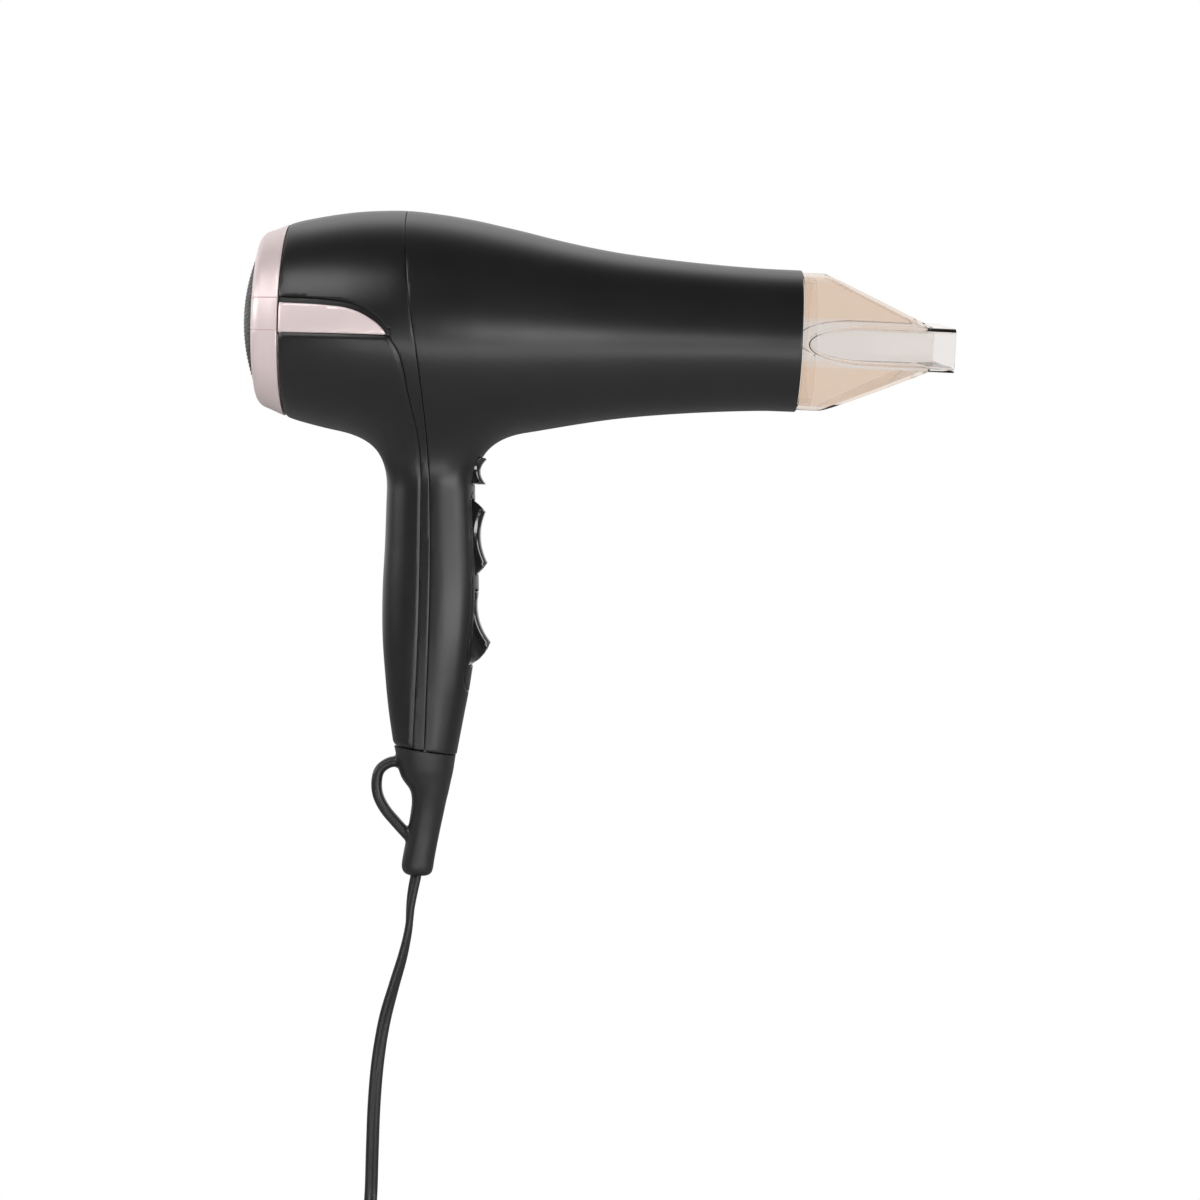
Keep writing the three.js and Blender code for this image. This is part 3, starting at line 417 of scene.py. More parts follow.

# %% [markdown]
# The cord is a flat twin flex: two insulated wires side by side in one jacket, with a groove between them.
# It leaves the cord guard, twists a little as it hangs, and the rest of its 1.8 m is wound up and tied.
# A curve with a bevel can't be twisted freely, so the jacket's outline is carried along the path instead.
# The hanging part follows listed points, the same as in the engineering model. The turns are
# worked out by a loop: an inner column that winds down and an outer one that winds up around it.

# %% Route of the cord
CORD_WIDTH = 5.2
CORD_THICK = 3.0
DROP = [(2.6, 0, -213.5), (2.5, 0, -219.9), (1.7, 0, -224.9), (0.9, 0, -232), (0.5, 0, -241),
        (-1.4, 0, -252), (-4.4, 0, -264), (-7.6, 0, -278), (-9.6, 0, -294), (-10.4, 0, -311),
        (-10.4, 0, -328), (-10.2, 0, -344)]
FLOOR = -388.0
TIE_ROOM = 1.2
INNER_RADIUS, OUTER_RADIUS = 28.2, 33.9
LAYER = 3.1
LOWEST = FLOOR + TIE_ROOM + CORD_THICK / 2
COIL_X = DROP[-1][0] + INNER_RADIUS
PLUG_REAR, PLUG_NECK = 68.0, 13.0
PLUG_MIDDLE = FLOOR + 8.0
STEPS_PER_TURN, LANDING_STEPS, TAIL_STEPS = 64, 7, 13
INNER_TURNS, OUTER_TURNS = 5, 3
LANDING_ANGLE, CROSSING_ANGLE = 1.25, 1.1


def eased(share):
    return share * share * (3 - 2 * share)


def round_coil(radius, angle, z):
    return (COIL_X - radius * math.cos(angle), -radius * math.sin(angle), z)


def cord_route():
    """Every point that the cord follows: the drop, the inner turns down, the outer turns up, the tail."""
    route = [Vector(p) for p in DROP]
    landing = LOWEST + LAYER * (INNER_TURNS - 0.2)
    for i in range(1, LANDING_STEPS + 1):
        share = i / LANDING_STEPS
        z = landing + (DROP[-1][2] - landing) * (1 - math.sin(share * math.pi / 2))
        route.append(Vector(round_coil(INNER_RADIUS, LANDING_ANGLE * share ** 2, z)))
    angle = LANDING_ANGLE
    end_inner = LANDING_ANGLE + 2 * math.pi * (INNER_TURNS - 0.55)
    step = 2 * math.pi / STEPS_PER_TURN
    while angle < end_inner:
        angle += step
        share = (angle - LANDING_ANGLE) / (end_inner - LANDING_ANGLE)
        route.append(Vector(round_coil(INNER_RADIUS, angle, landing + (LOWEST - landing) * share)))
    begin_outer = angle
    end_outer = begin_outer + 2 * math.pi * OUTER_TURNS
    end_outer += (math.pi / 2 - end_outer) % (2 * math.pi)
    while angle < end_outer - step:
        angle += step
        out = min((angle - begin_outer) / CROSSING_ANGLE, 1)
        radius = INNER_RADIUS + (OUTER_RADIUS - INNER_RADIUS) * eased(out)
        z = LOWEST + LAYER * max(angle - begin_outer - CROSSING_ANGLE, 0) / (2 * math.pi)
        route.append(Vector(round_coil(radius, angle, z)))
    tail = PLUG_REAR - PLUG_NECK + 2 - COIL_X
    for share in np.linspace(0, 1, TAIL_STEPS + 1):
        z_here = z + (PLUG_MIDDLE - z) * eased(share)
        route.append(Vector((COIL_X + tail * share, -OUTER_RADIUS, z_here)))
    return route


def smoothed(points, spacing, parts=12):
    """Points evenly spaced along a smooth curve through the given ones, and the curve's length."""
    fine = []
    for i in range(len(points) - 1):
        a, b = points[max(i - 1, 0)], points[i]
        c, d = points[i + 1], points[min(i + 2, len(points) - 1)]
        m, n = (c - a) / 2, (d - b) / 2
        for k in range(parts):
            t = k / parts
            fine.append(b * (2 * t**3 - 3 * t**2 + 1) + m * (t**3 - 2 * t**2 + t)
                        + c * (3 * t**2 - 2 * t**3) + n * (t**3 - t**2))
    fine.append(points[-1])
    co = np.array(fine)
    run = np.concatenate([[0], np.cumsum(np.linalg.norm(np.diff(co, axis=0), axis=1))])
    even = np.linspace(0, run[-1], int(run[-1] / spacing) + 1)
    return np.stack([np.interp(even, run, co[:, k]) for k in range(3)], axis=1), run[-1]


cord_path, cord_run = smoothed(cord_route(), 2.4)
print("cord", round(cord_run), "mm along", len(cord_path), "points")


# %% Jacket of the cord
JACKET_SIDES, JACKET_WAIST = 20, 1.12
TWIST = [(-400, 180), (-330, 180), (-290, 165), (-262, 128), (-240, 90), (-222, 48), (-210, 45)]


def twin_outline():
    """Two round wires side by side in one jacket, with a shallow groove on each face."""
    offset, radius = (CORD_WIDTH - CORD_THICK) / 2, CORD_THICK / 2
    outline = []
    for k in range(JACKET_SIDES):
        angle = 2 * math.pi * k / JACKET_SIDES
        c, s = math.cos(angle), math.sin(angle)
        reach = offset * abs(c) + math.sqrt(radius**2 - (offset * s) ** 2)
        outline.append((reach * c, max(reach, JACKET_WAIST) * s))
    return outline


def cord_sides(path, hanging_points):
    """The cord's wide direction at each point: away from the coil's axis, or -Y on the tail and past the
    inner turns' reach, turned by its twist."""
    twist = curve_through(TWIST)
    sides = []
    for i, point in enumerate(path):
        here = Vector(point)
        along = (Vector(path[min(i + 1, len(path) - 1)]) - Vector(path[max(i - 1, 0)])).normalized()
        on_tail = here.x > COIL_X and here.y < -OUTER_RADIUS + 0.01
        past_inner_turns = here.x >= INNER_RADIUS + COIL_X
        out = Vector((0, -1, 0)) if on_tail or past_inner_turns else Vector((here.x - COIL_X, here.y, 0))
        out = (out - along * out.dot(along)).normalized()
        turn = math.radians(float(twist(point[2])) - 180) if i < hanging_points else 0
        sides.append(Matrix.Rotation(turn, 3, along) @ out)
    return sides


free_points = int(np.argmax(cord_path[:, 2] < DROP[-1][2]))
cord_mesh = swept(cord_path, twin_outline(), cord_sides(cord_path, free_points))
cord_piece = finish_piece("flex_cord", cord_mesh, JACKET, "housing", sharp=None)
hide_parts("power_cord", "cord_coil", "cord_tail")

# %% [markdown]
# The coil's tie is a soft strap pulled tight round the turns. Its path is found as a string finds it: for
# each direction, the corner of a turn that lies furthest out, let out by the strap's half thickness.


# %% Cord tie
def rounded_rectangle(wide, thick, radius, corner_steps=2):
    """A rectangle with round corners about its middle, given by its half sizes."""
    w, t = wide - radius, thick - radius
    outline = []
    for x, z, start in ((w, t, 0), (-w, t, 90), (-w, -t, 180), (w, -t, 270)):
        for k in range(corner_steps + 1):
            angle = math.radians(start + 90 * k / corner_steps)
            outline.append((x + radius * math.cos(angle), z + radius * math.sin(angle)))
    return outline


STRAP_HALF, STRAP_WIDTH, STRAP_PLAY = 0.42, 4.0, 0.15
STRAP_STEPS = 72


def tie_mesh():
    turns = [p for p in cord_path if abs(p[0] - COIL_X) < 1.3 and p[1] > INNER_RADIUS - 4]
    corners = np.array([(p[1] + a * CORD_WIDTH / 2, p[2] + b * CORD_THICK / 2)
                        for p in turns for a in (-1, 1) for b in (-1, 1)])
    path = []
    for angle in np.linspace(0, 2 * math.pi, STRAP_STEPS, endpoint=False):
        toward = np.array([math.cos(angle), math.sin(angle)])
        y, z = corners[np.argmax(corners @ toward)] + toward * (STRAP_HALF + STRAP_PLAY)
        path.append((COIL_X, float(y), float(z)))
    strap = rounded_rectangle(STRAP_WIDTH / 2, STRAP_HALF, STRAP_HALF * 0.9)
    return swept(path, strap, [(1, 0, 0)] * len(path), closed=True)


tie_piece = finish_piece("coil_tie", tie_mesh(), JACKET, "housing")
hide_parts("cord_tie")

# %% [markdown]
# The plug is a moulded block with a rounded grip and a ribbed neck that keeps the cord from kinking.
# It starts as a cube whose edges are bevelled. The neck is turned from an outline with grooves in it.


# %% Plug
PLUG_SIZE, PLUG_ROUND = Vector((36.0, 24.0, 16.0)), 4.6
PIN_SLOT, PIN_SIDE = Vector((9.0, 2.1, 6.9)), 6.35


def plug_mesh():
    bm = bmesh.new()
    bmesh.ops.create_cube(bm, size=1)
    bmesh.ops.scale(bm, vec=PLUG_SIZE, verts=bm.verts)
    bmesh.ops.bevel(bm, geom=bm.edges, offset=PLUG_ROUND, offset_type="OFFSET", affect="EDGES", segments=6,
                    profile=0.5, material=-1)
    for vert in bm.verts:
        waist = 1 - 0.07 * math.exp(-((vert.co.x + 2) / 8) ** 2)
        vert.co.y *= waist
    bmesh.ops.translate(bm, vec=(PLUG_REAR + PLUG_SIZE.x / 2, 0, 0), verts=bm.verts)
    neck = [(PLUG_REAR - PLUG_NECK, 0), (PLUG_REAR - PLUG_NECK, 3.3)]
    for i in range(4):
        x = PLUG_REAR - PLUG_NECK + 1.2 + 2.7 * i
        r = 3.5 + 0.3 * i
        neck += [(x, r), (x + 0.5, r - 0.55), (x + 1.0, r - 0.55), (x + 1.5, r + 0.08)]
    neck += [(PLUG_REAR + 1, 5.0), (PLUG_REAR + 1, 0)]
    joined = combined(mesh_from(bm), mesh_from(spun(neck, 40)), "UNION")
    slots = bmesh.new()
    for side in (-1, 1):
        made = bmesh.ops.create_cube(slots, size=1)["verts"]
        bmesh.ops.scale(slots, vec=PIN_SLOT, verts=made)
        bmesh.ops.translate(slots, vec=(PLUG_REAR + PLUG_SIZE.x - 3.5, side * PIN_SIDE, 0), verts=made)
    joined = combined(joined, mesh_from(slots), "DIFFERENCE")
    result = bmesh_from(joined)
    bmesh.ops.translate(result, vec=(0, -OUTER_RADIUS, PLUG_MIDDLE), verts=result.verts)
    return result


plug_piece = finish_piece("plug_grip", plug_mesh(), GUARD, "housing")
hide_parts("plug_body")

# %% [markdown]
# The dryer's outside is one smooth form: a turned barrel that swells around the motor, and a handle with
# rounded sides that flares where it meets the barrel. Two solids joined by a boolean would meet in a sharp
# crease, and a bevel along that crease has an even width, which a moulded blend doesn't have. So the form
# is written as a distance: one distance to the barrel, one to the handle, and a smooth minimum of the two.
# A voxel remesh of the two rough solids gives an even net of small quads, and each of its points is then
# moved onto the form.

# %% Outer form
barrel_radius = curve_through([
    (-66, 35.0), (-60, 37.1), (-54, 39.3), (-48, 40.8), (-42, 42.1), (-36, 43.2), (-30, 44.1),
    (-24, 44.7), (-18, 45.1), (-12, 45.3), (-6, 45.1), (0, 44.6), (6, 44.0), (12, 43.2), (18, 42.3),
    (24, 41.2), (36, 38.9), (48, 36.4), (60, 34.2), (72, 32.4), (84, 31.1), (96, 30.1), (108, 29.3),
    (120, 28.7), (132, 28.3), (147, 28.2)])
belly = curve_through([(-20, 0), (10, 2.0), (42, 2.8), (60, 2.5), (84, 1.6), (108, 0.8), (135, 0)])
# height, then the rear edge, the front edge and the half width
HANDLE = [(-190, -3.0, 13.0, 10.4), (-178, -6.0, 15.6, 12.2), (-172, -7.6, 16.6, 12.9),
          (-166, -8.8, 17.5, 13.3), (-154, -11.0, 19.3, 13.9), (-142, -12.7, 21.1, 14.6),
          (-124, -14.7, 22.8, 15.3), (-106, -15.4, 23.1, 15.5), (-88, -15.2, 21.8, 15.5),
          (-64, -15.3, 19.8, 15.6), (-30, -14.8, 17.6, 16.5)]
handle_rear, handle_front, handle_half = (curve_through(HANDLE, column) for column in (1, 2, 3))
HANDLE_POWER = 2.3
BLEND = 21.0
BURIED_TOP = -10.0


def form_distance(co):
    """Distance from the outer form at many points, negative inside it."""
    x, y, z = co.T
    across = np.maximum(np.hypot(y, z), 1e-3)
    slope = (barrel_radius(x + 1) - barrel_radius(x - 1)) / 2
    radius = barrel_radius(x) + belly(x) * (np.clip(-z, 0, None) / across) ** 2
    to_barrel = (across - radius) / np.sqrt(1 + slope**2)
    rear, front, half = handle_rear(z), handle_front(z), handle_half(z)
    from_middle = x - (rear + front) / 2
    share = (np.abs(from_middle * 2 / (front - rear)) ** HANDLE_POWER
             + np.abs(y / half) ** HANDLE_POWER) ** (1 / HANDLE_POWER)
    to_handle = np.hypot(from_middle, y) * (1 - 1 / np.maximum(share, 1e-3))
    to_handle = np.maximum(to_handle, z - BURIED_TOP)
    overlap = np.clip(BLEND - np.abs(to_barrel - to_handle), 0, None) / BLEND
    return np.minimum(to_barrel, to_handle) - overlap**2 * BLEND / 4


def gradient(field, co, reach=0.05):
    steps = np.eye(3) * reach
    return np.stack([field(co + s) - field(co - s) for s in steps], axis=1) / (2 * reach)


def onto_form(co, inset=0.0):
    """The nearest points on the form, taken in by inset."""
    lean = gradient(form_distance, co)
    size = np.maximum((lean**2).sum(axis=1), 0.2)
    return co - lean * ((form_distance(co) + inset) / size)[:, None]


def outward(co):
    lean = gradient(form_distance, co)
    return lean / np.linalg.norm(lean, axis=1)[:, None]


def coordinates(verts):
    return np.array([vert.co for vert in verts])


def place(verts, co):
    for vert, point in zip(verts, co):
        vert.co = point


# %% Net of the outer form
SKIN_NET = 1.25


def oval_point(rear, front, half, z, angle):
    """A point of the squarish oval that the handle and the cord guard have as their section."""
    c, s = math.cos(angle), math.sin(angle)
    reach = (abs(c) ** HANDLE_POWER + abs(s) ** HANDLE_POWER) ** (-1 / HANDLE_POWER)
    return ((rear + front) / 2 + (front - rear) / 2 * c * reach, half * s * reach, z)


def rough_form():
    stations = [(x, float(barrel_radius(x))) for x in range(-64, 155, 4)]
    barrel = spun([(stations[0][0], 0)] + stations + [(stations[-1][0], 0)], 72)

    def section(z, angle):
        return oval_point(float(handle_rear(z)), float(handle_front(z)), float(handle_half(z)), z, angle)

    handle = lofted(range(-188, -10, 6), section, 48)
    return combined(mesh_from(barrel), mesh_from(handle), "UNION")


def net_of_form():
    bm = bmesh_from(modified(rough_form(), "REMESH", mode="VOXEL", voxel_size=SKIN_NET))
    for _ in range(6):
        relax(bm)
        place(bm.verts, onto_form(coordinates(bm.verts)))
    return mesh_from(bm, "outer_form")


skin = net_of_form()
off_by = float(np.abs(form_distance(coordinates(skin.vertices))).max())
print("outer form", len(skin.polygons), "faces, at most", round(off_by, 3), "mm off")

# %% [markdown]
# Every moulding of the shell is a piece of that form, cut out along an outline in the side view. The net's
# edges are split exactly where they cross the outline and the new points are joined, which leaves a clean
# line. A second line just inside the first lets the rim drop a little, as a moulded edge does, and that
# small rounding catches the light beside each parting line. The piece is then extruded inwards for its
# wall.


# %% Cutting a moulding out of the form
WELL_OUTSIDE = 4.0


def outline_field(outline):
    """Distance in the side view at many points, positive inside a closed outline of (x, z) points."""
    a = np.array(outline, float)
    b = np.roll(a, -1, axis=0)
    ab = b - a
    length = (ab**2).sum(axis=1)

    def field(co):
        p = co[:, None, [0, 2]]
        t = np.clip(((p - a) * ab).sum(axis=2) / length, 0, 1)
        near = np.linalg.norm(p - a - t[..., None] * ab, axis=2).min(axis=1)
        x, z = p[..., 0], p[..., 1]
        spans = (a[:, 1] > z) != (b[:, 1] > z)
        with np.errstate(divide="ignore", invalid="ignore"):
            crossing = a[:, 0] + ab[:, 0] * (z - a[:, 1]) / ab[:, 1]
        inside = (spans & (x < crossing)).sum(axis=1) % 2 == 1
        return np.where(inside, near, -near)

    return field


def cut_along(bm, field, level, snap=0.12):
    """Makes edges along the line where field is level. Points already close to it are moved onto it."""
    bm.verts.index_update()
    co = coordinates(bm.verts)
    value = field(co) - level
    near = np.abs(value) < snap
    if near.any():
        lean = gradient(field, co[near])
        size = np.maximum((lean**2).sum(axis=1), 0.5)
        co[near] -= lean * (value[near] / size)[:, None]
        place(bm.verts, co)
        value[near] = 0
    crossed = [e for e in bm.edges if value[e.verts[0].index] * value[e.verts[1].index] < 0]
    bm.verts.ensure_lookup_table()
    on_line = [bm.verts[int(i)] for i in np.flatnonzero(near)]
    for edge in crossed:
        a, b = edge.verts
        va, vb = value[a.index], value[b.index]
        on_line.append(bmesh.utils.edge_split(edge, a, va / (va - vb))[1])
    bmesh.ops.connect_verts(bm, verts=on_line)


def moulding(field, thickness, sink=0.0, edge=0.28, drop=0.14):
    """The part of the form where field is positive, as a wall with slightly rounded rims."""
    bm = bmesh_from(skin)
    value = field(coordinates(bm.verts))
    far = [vert for vert, at in zip(bm.verts, value) if at < -WELL_OUTSIDE]
    bmesh.ops.delete(bm, geom=far, context="VERTS")
    cut_along(bm, field, 0)
    cut_along(bm, field, edge, snap=0.08)
    centres = np.array([face.calc_center_median() for face in bm.faces])
    outside = [face for face, at in zip(bm.faces, field(centres)) if at < 0]
    bmesh.ops.delete(bm, geom=outside, context="FACES")
    co = onto_form(coordinates(bm.verts))
    rim = np.clip(1 - field(co) / edge, 0, 1) ** 1.5
    place(bm.verts, co - outward(co) * (rim * drop + sink)[:, None])
    made = bmesh.ops.extrude_face_region(bm, geom=bm.faces[:], use_keep_orig=True)["geom"]
    inner = [item for item in made if isinstance(item, bmesh.types.BMVert)]
    co = coordinates(inner)
    place(inner, co - outward(co) * thickness)
    bmesh.ops.recalc_face_normals(bm, faces=bm.faces)
    return bm


# %% Outlines of the mouldings
GAP = 0.3
WALL = 2.4
REAR_END, FRONT_END = -57.2, 146.6
HANDLE_END, END_RISE = -170.5, 2.8
seam = curve_through([(-180, 4.7), (-110, 4.4), (-70, 2.9), (-40, 0.5), (-16, -2.6), (8, -6.8),
                      (43, -10.8), (80, -11.5)])
back_line = curve_through([(-180, -0.3), (-124, 0.4), (-76, -0.5), (-49, -1.8), (-30, -5.9), (-17, -8.9),
                           (-8.5, -13.7), (0, -19)])
trim_top = curve_through([(-58, 3.2), (-40.5, 2.6), (-28, 1), (-18.4, -3.9), (-13.9, -8.7), (-12, -11)])
TRIM_LOW, TRIM_FRONT, GROOVE = -8.6, -14.0, 2.4
TRIM_THICK, TRIM_BED = 1.1, 1.4
FAR = 60.0


def shell_end(x):
    rear, front = float(handle_rear(HANDLE_END)), float(handle_front(HANDLE_END))
    return HANDLE_END + END_RISE * (front - x) / (front - rear)


def down_a_line(line, top, bottom_x, step=2.0):
    bottom = shell_end(bottom_x)
    heights = np.linspace(top, bottom, int((top - bottom) / step) + 1)
    return [(float(line(z)), float(z)) for z in heights]


seam_points = down_a_line(seam, FAR, 4.7)
front_area = outline_field(seam_points + [(40, shell_end(40)), (FRONT_END, -100), (FRONT_END, FAR)])
rear_area = outline_field(seam_points + [(-30, shell_end(-30)), (REAR_END, -100), (REAR_END, FAR)])
back_area = outline_field(down_a_line(back_line, TRIM_LOW, -0.2)
                          + [(-30, shell_end(-30)), (REAR_END, -100), (REAR_END, TRIM_LOW)])


def trim_area(groove):
    xs = np.linspace(REAR_END - 3 * (groove > 0), TRIM_FRONT + groove * 0.4, 30)
    crest = [(float(x), max(float(trim_top(x)), TRIM_LOW + 0.05) + groove) for x in xs]
    return outline_field(crest[::-1] + [(crest[0][0], TRIM_LOW), (crest[-1][0], TRIM_LOW)])


strip_area, pocket_area = trim_area(0), trim_area(GROOVE)
print("shell ends at", round(shell_end(-8), 1), "mm behind and", round(shell_end(16.8), 1), "mm in front")

# %% [markdown]
# The switch plate is let into the front of the handle. Its outline is a rounded slot seen from the front,
# so its field is measured in that view, and only the front half of the handle counts.

# %% Switch plate and button openings
PLATE_TOP, PLATE_BOTTOM, PLATE_HALF = -65.4, -145.0, 8.3
PLATE_THICK = 1.1
ROCKER_SWING, ROCKER_WIDTH = 18.2, 12.2
TRIGGER_TOP, TRIGGER_BOTTOM, TRIGGER_WIDTH = -51.9, -62.3, 12.0
TRIGGER_MIDDLE, TRIGGER_TALL = (TRIGGER_TOP + TRIGGER_BOTTOM) / 2, (TRIGGER_TOP - TRIGGER_BOTTOM) / 2
FRONT_HALF = 7.1


def joint_point(name):
    """Where a joint of the engineering model is, in barrel millimetres."""
    at = next(j["pos_m"] for j in frame["joints"] if j["name"] == name)
    return Vector(at) / MM + Vector((GRIP_X, 0, -AXIS_HEIGHT))


rocker_pivots = [joint_point("speed_rocker_tilt"), joint_point("heat_rocker_tilt")]


def plate_area(co):
    """Positive inside the plate's outline, as seen from the front."""
    corner = PLATE_HALF * 0.75
    across = np.abs(co[:, 1]) - (PLATE_HALF - corner)
    along = np.abs(co[:, 2] - (PLATE_TOP + PLATE_BOTTOM) / 2) - ((PLATE_TOP - PLATE_BOTTOM) / 2 - corner)
    beyond = np.hypot(np.maximum(across, 0), np.maximum(along, 0))
    outside = beyond + np.minimum(np.maximum(across, along), 0)
    return np.minimum(corner - outside, co[:, 0] - FRONT_HALF)


def rocker_openings(co, margin):
    """Positive inside the room that either rocker sweeps."""
    rooms = [np.minimum(ROCKER_SWING + margin - np.hypot(co[:, 0] - p.x, co[:, 2] - p.z),
                        ROCKER_WIDTH / 2 + margin - np.abs(co[:, 1])) for p in rocker_pivots]
    return np.minimum(np.maximum(*rooms), co[:, 0] - FRONT_HALF)


def trigger_opening(co):
    beside = TRIGGER_WIDTH / 2 + GAP - np.abs(co[:, 1])
    above = TRIGGER_TALL + GAP - np.abs(co[:, 2] - TRIGGER_MIDDLE)
    return np.minimum.reduce([beside, above, co[:, 0] - FRONT_HALF])


def front_field(co):
    return np.minimum.reduce([front_area(co) - GAP / 2, -plate_area(co) - GAP, -trigger_opening(co)])


def rear_field(co):
    return np.minimum.reduce([rear_area(co) - GAP / 2, -back_area(co) - GAP / 2, -pocket_area(co)])


def back_field(co):
    return np.minimum.reduce([back_area(co) - GAP / 2, rear_area(co) - GAP / 2, -pocket_area(co) + 0.05])


def plate_field(co):
    return np.minimum(plate_area(co), -rocker_openings(co, GAP))


# %% [markdown]
# A wall that is extruded square to the curved skin leans in towards the buttons behind its openings. On a
# real moulding the openings go straight in, and a button that moves needs that. So the rooms that the
# buttons move in are cut out of the front moulding, a little narrower than the openings in its face.

# %% Room for the buttons
CLEARANCE = GAP - 0.08
ROOM_REAR, ROOM_FACE = 8.0, 30.0


def button_rooms():
    """A straight room for the trigger and a round one for each rocker, a little wider than they are."""
    low, high = TRIGGER_BOTTOM - CLEARANCE, TRIGGER_TOP + CLEARANCE
    half = TRIGGER_WIDTH / 2 + CLEARANCE
    straight = [(ROOM_REAR, low), (ROOM_FACE, low), (ROOM_FACE, high), (ROOM_REAR, high)]
    rooms = [prism(straight, -half, half)]
    reach, half = ROCKER_SWING + CLEARANCE, ROCKER_WIDTH / 2 + CLEARANCE
    for pivot in rocker_pivots:
        fan = [(pivot.x + reach * math.cos(angle), pivot.z + reach * math.sin(angle))
               for angle in np.linspace(-1.4, 1.4, 65).tolist()]
        rooms.append(prism(fan, -half, half))
    return rooms


def cleared(bm):
    """The moulding with its wall's inner edges cut back from the buttons' rooms."""
    mesh = mesh_from(bm)
    for room in button_rooms():
        mesh = combined(mesh, mesh_from(room), "DIFFERENCE")
    return bmesh_from(mesh)


# %% Shell mouldings
front_piece = finish_piece("front_moulding", cleared(moulding(front_field, WALL)), SHELL, "housing",
                           55)
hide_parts("front_housing")
rear_piece = finish_piece("rear_moulding", moulding(rear_field, WALL), SHELL, "housing", 55)
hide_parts("rear_housing")
back_piece = finish_piece("handle_back_moulding", moulding(back_field, WALL, edge=1.5, drop=0.6), SHELL,
                          "housing", 55)
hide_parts("handle_back")
plate_piece = finish_piece("switch_panel", moulding(plate_field, PLATE_THICK), PLATE, "housing",
                           55)
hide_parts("switch_plate")
plate_bed = moulding(lambda co: np.minimum(plate_area(co) + GAP + 0.5, -rocker_openings(co, 3 * GAP)), 1.0,
                     sink=PLATE_THICK + 0.3)
finish_piece("switch_panel_bed", plate_bed, SHELL, "housing")
for side, label in ((1, "left"), (-1, "right")):
    strip = moulding(lambda co: np.minimum(strip_area(co) - GAP / 2, side * co[:, 1]), TRIM_THICK, drop=0.3)
    strip_piece = finish_piece(f"rose_strip_{label}", strip, ROSE, "housing", 55)
    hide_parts(f"side_trim_{label}")
    bed = moulding(lambda co: np.minimum(pocket_area(co) + 0.6, side * co[:, 1]), 0.8, sink=TRIM_BED)
    finish_piece(f"strip_bed_{label}", bed, SHELL, "housing")

# %% [markdown]
# The inlet ring is a plated cover that pulls off for cleaning. It is turned from one outline with a soft
# rear edge. On each side a raised tab lines up with the rose strip of the shell. Its borders are cut into
# the ring's surface, then the lines are pushed in and the tab between them is lifted.

# %% Inlet ring
RING_OUTLINE = [(-66.6, 30.3), (-67.6, 30.4), (-68.1, 30.7), (-68.35, 31.2), (-68.35, 31.8), (-68.1, 32.5),
                (-67.5, 33.4), (-66.8, 34.1), (-66.0, 34.65), (-65.0, 35.1), (-64.0, 35.45), (-63.0, 35.85),
                (-62.0, 36.25), (-61.0, 36.65), (-60.0, 37.1), (-59.0, 37.5), (-58.2, 37.8), (-57.75, 37.93),
                (-57.55, 37.85), (-57.48, 37.6), (-57.5, 35.3), (-53.4, 35.2), (-53.3, 33.7), (-60.5, 33.5),
                (-63.5, 30.4)]
TAB_TOP, TAB_BOTTOM = 5.0, -7.6
TAB_LINE, TAB_LIFT, TAB_CUT = 0.3, 0.25, 0.35


def ring_mesh():
    bm = spun(RING_OUTLINE, 180)

    def from_tab(co):
        return (TAB_TOP - TAB_BOTTOM) / 2 - np.abs(co[:, 2] - (TAB_TOP + TAB_BOTTOM) / 2)

    for level in (-TAB_LINE, 0.0, TAB_LINE):
        cut_along(bm, from_tab, level, snap=0.05)
    for vert, at in zip(bm.verts, from_tab(coordinates(bm.verts))):
        radius = math.hypot(vert.co.y, vert.co.z)
        if radius < 31 or vert.co.x > -57.7 or at < -TAB_LINE / 2:
            continue
        lift = -TAB_CUT if at < TAB_LINE / 2 else TAB_LIFT
        vert.co.y *= 1 + lift / radius
        vert.co.z *= 1 + lift / radius
    return bm


ring_piece = finish_piece("inlet_cover_ring", ring_mesh(), ROSE, "inlet_cover", 40)
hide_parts("inlet_ring")

# %% [markdown]
# The inlet screen is woven wire pressed into a shallow dome. An image of a weave would be flat, and from
# the side this one shows its bumps against the light, so the wires are real: two sets that pass over and
# under each other by turns. A wire this thin only needs four sides.

# %% Woven inlet screen
SCREEN_RADIUS, SCREEN_RIM, SCREEN_DOME = 30.9, -67.2, 7.0
WIRE_PITCH, WIRE_RADIUS, WEAVE_DEPTH = 1.5, 0.27, 0.33


def dome_x(y, z):
    share = (y * y + z * z) / SCREEN_RADIUS**2
    return SCREEN_RIM - SCREEN_DOME * (1 - share)


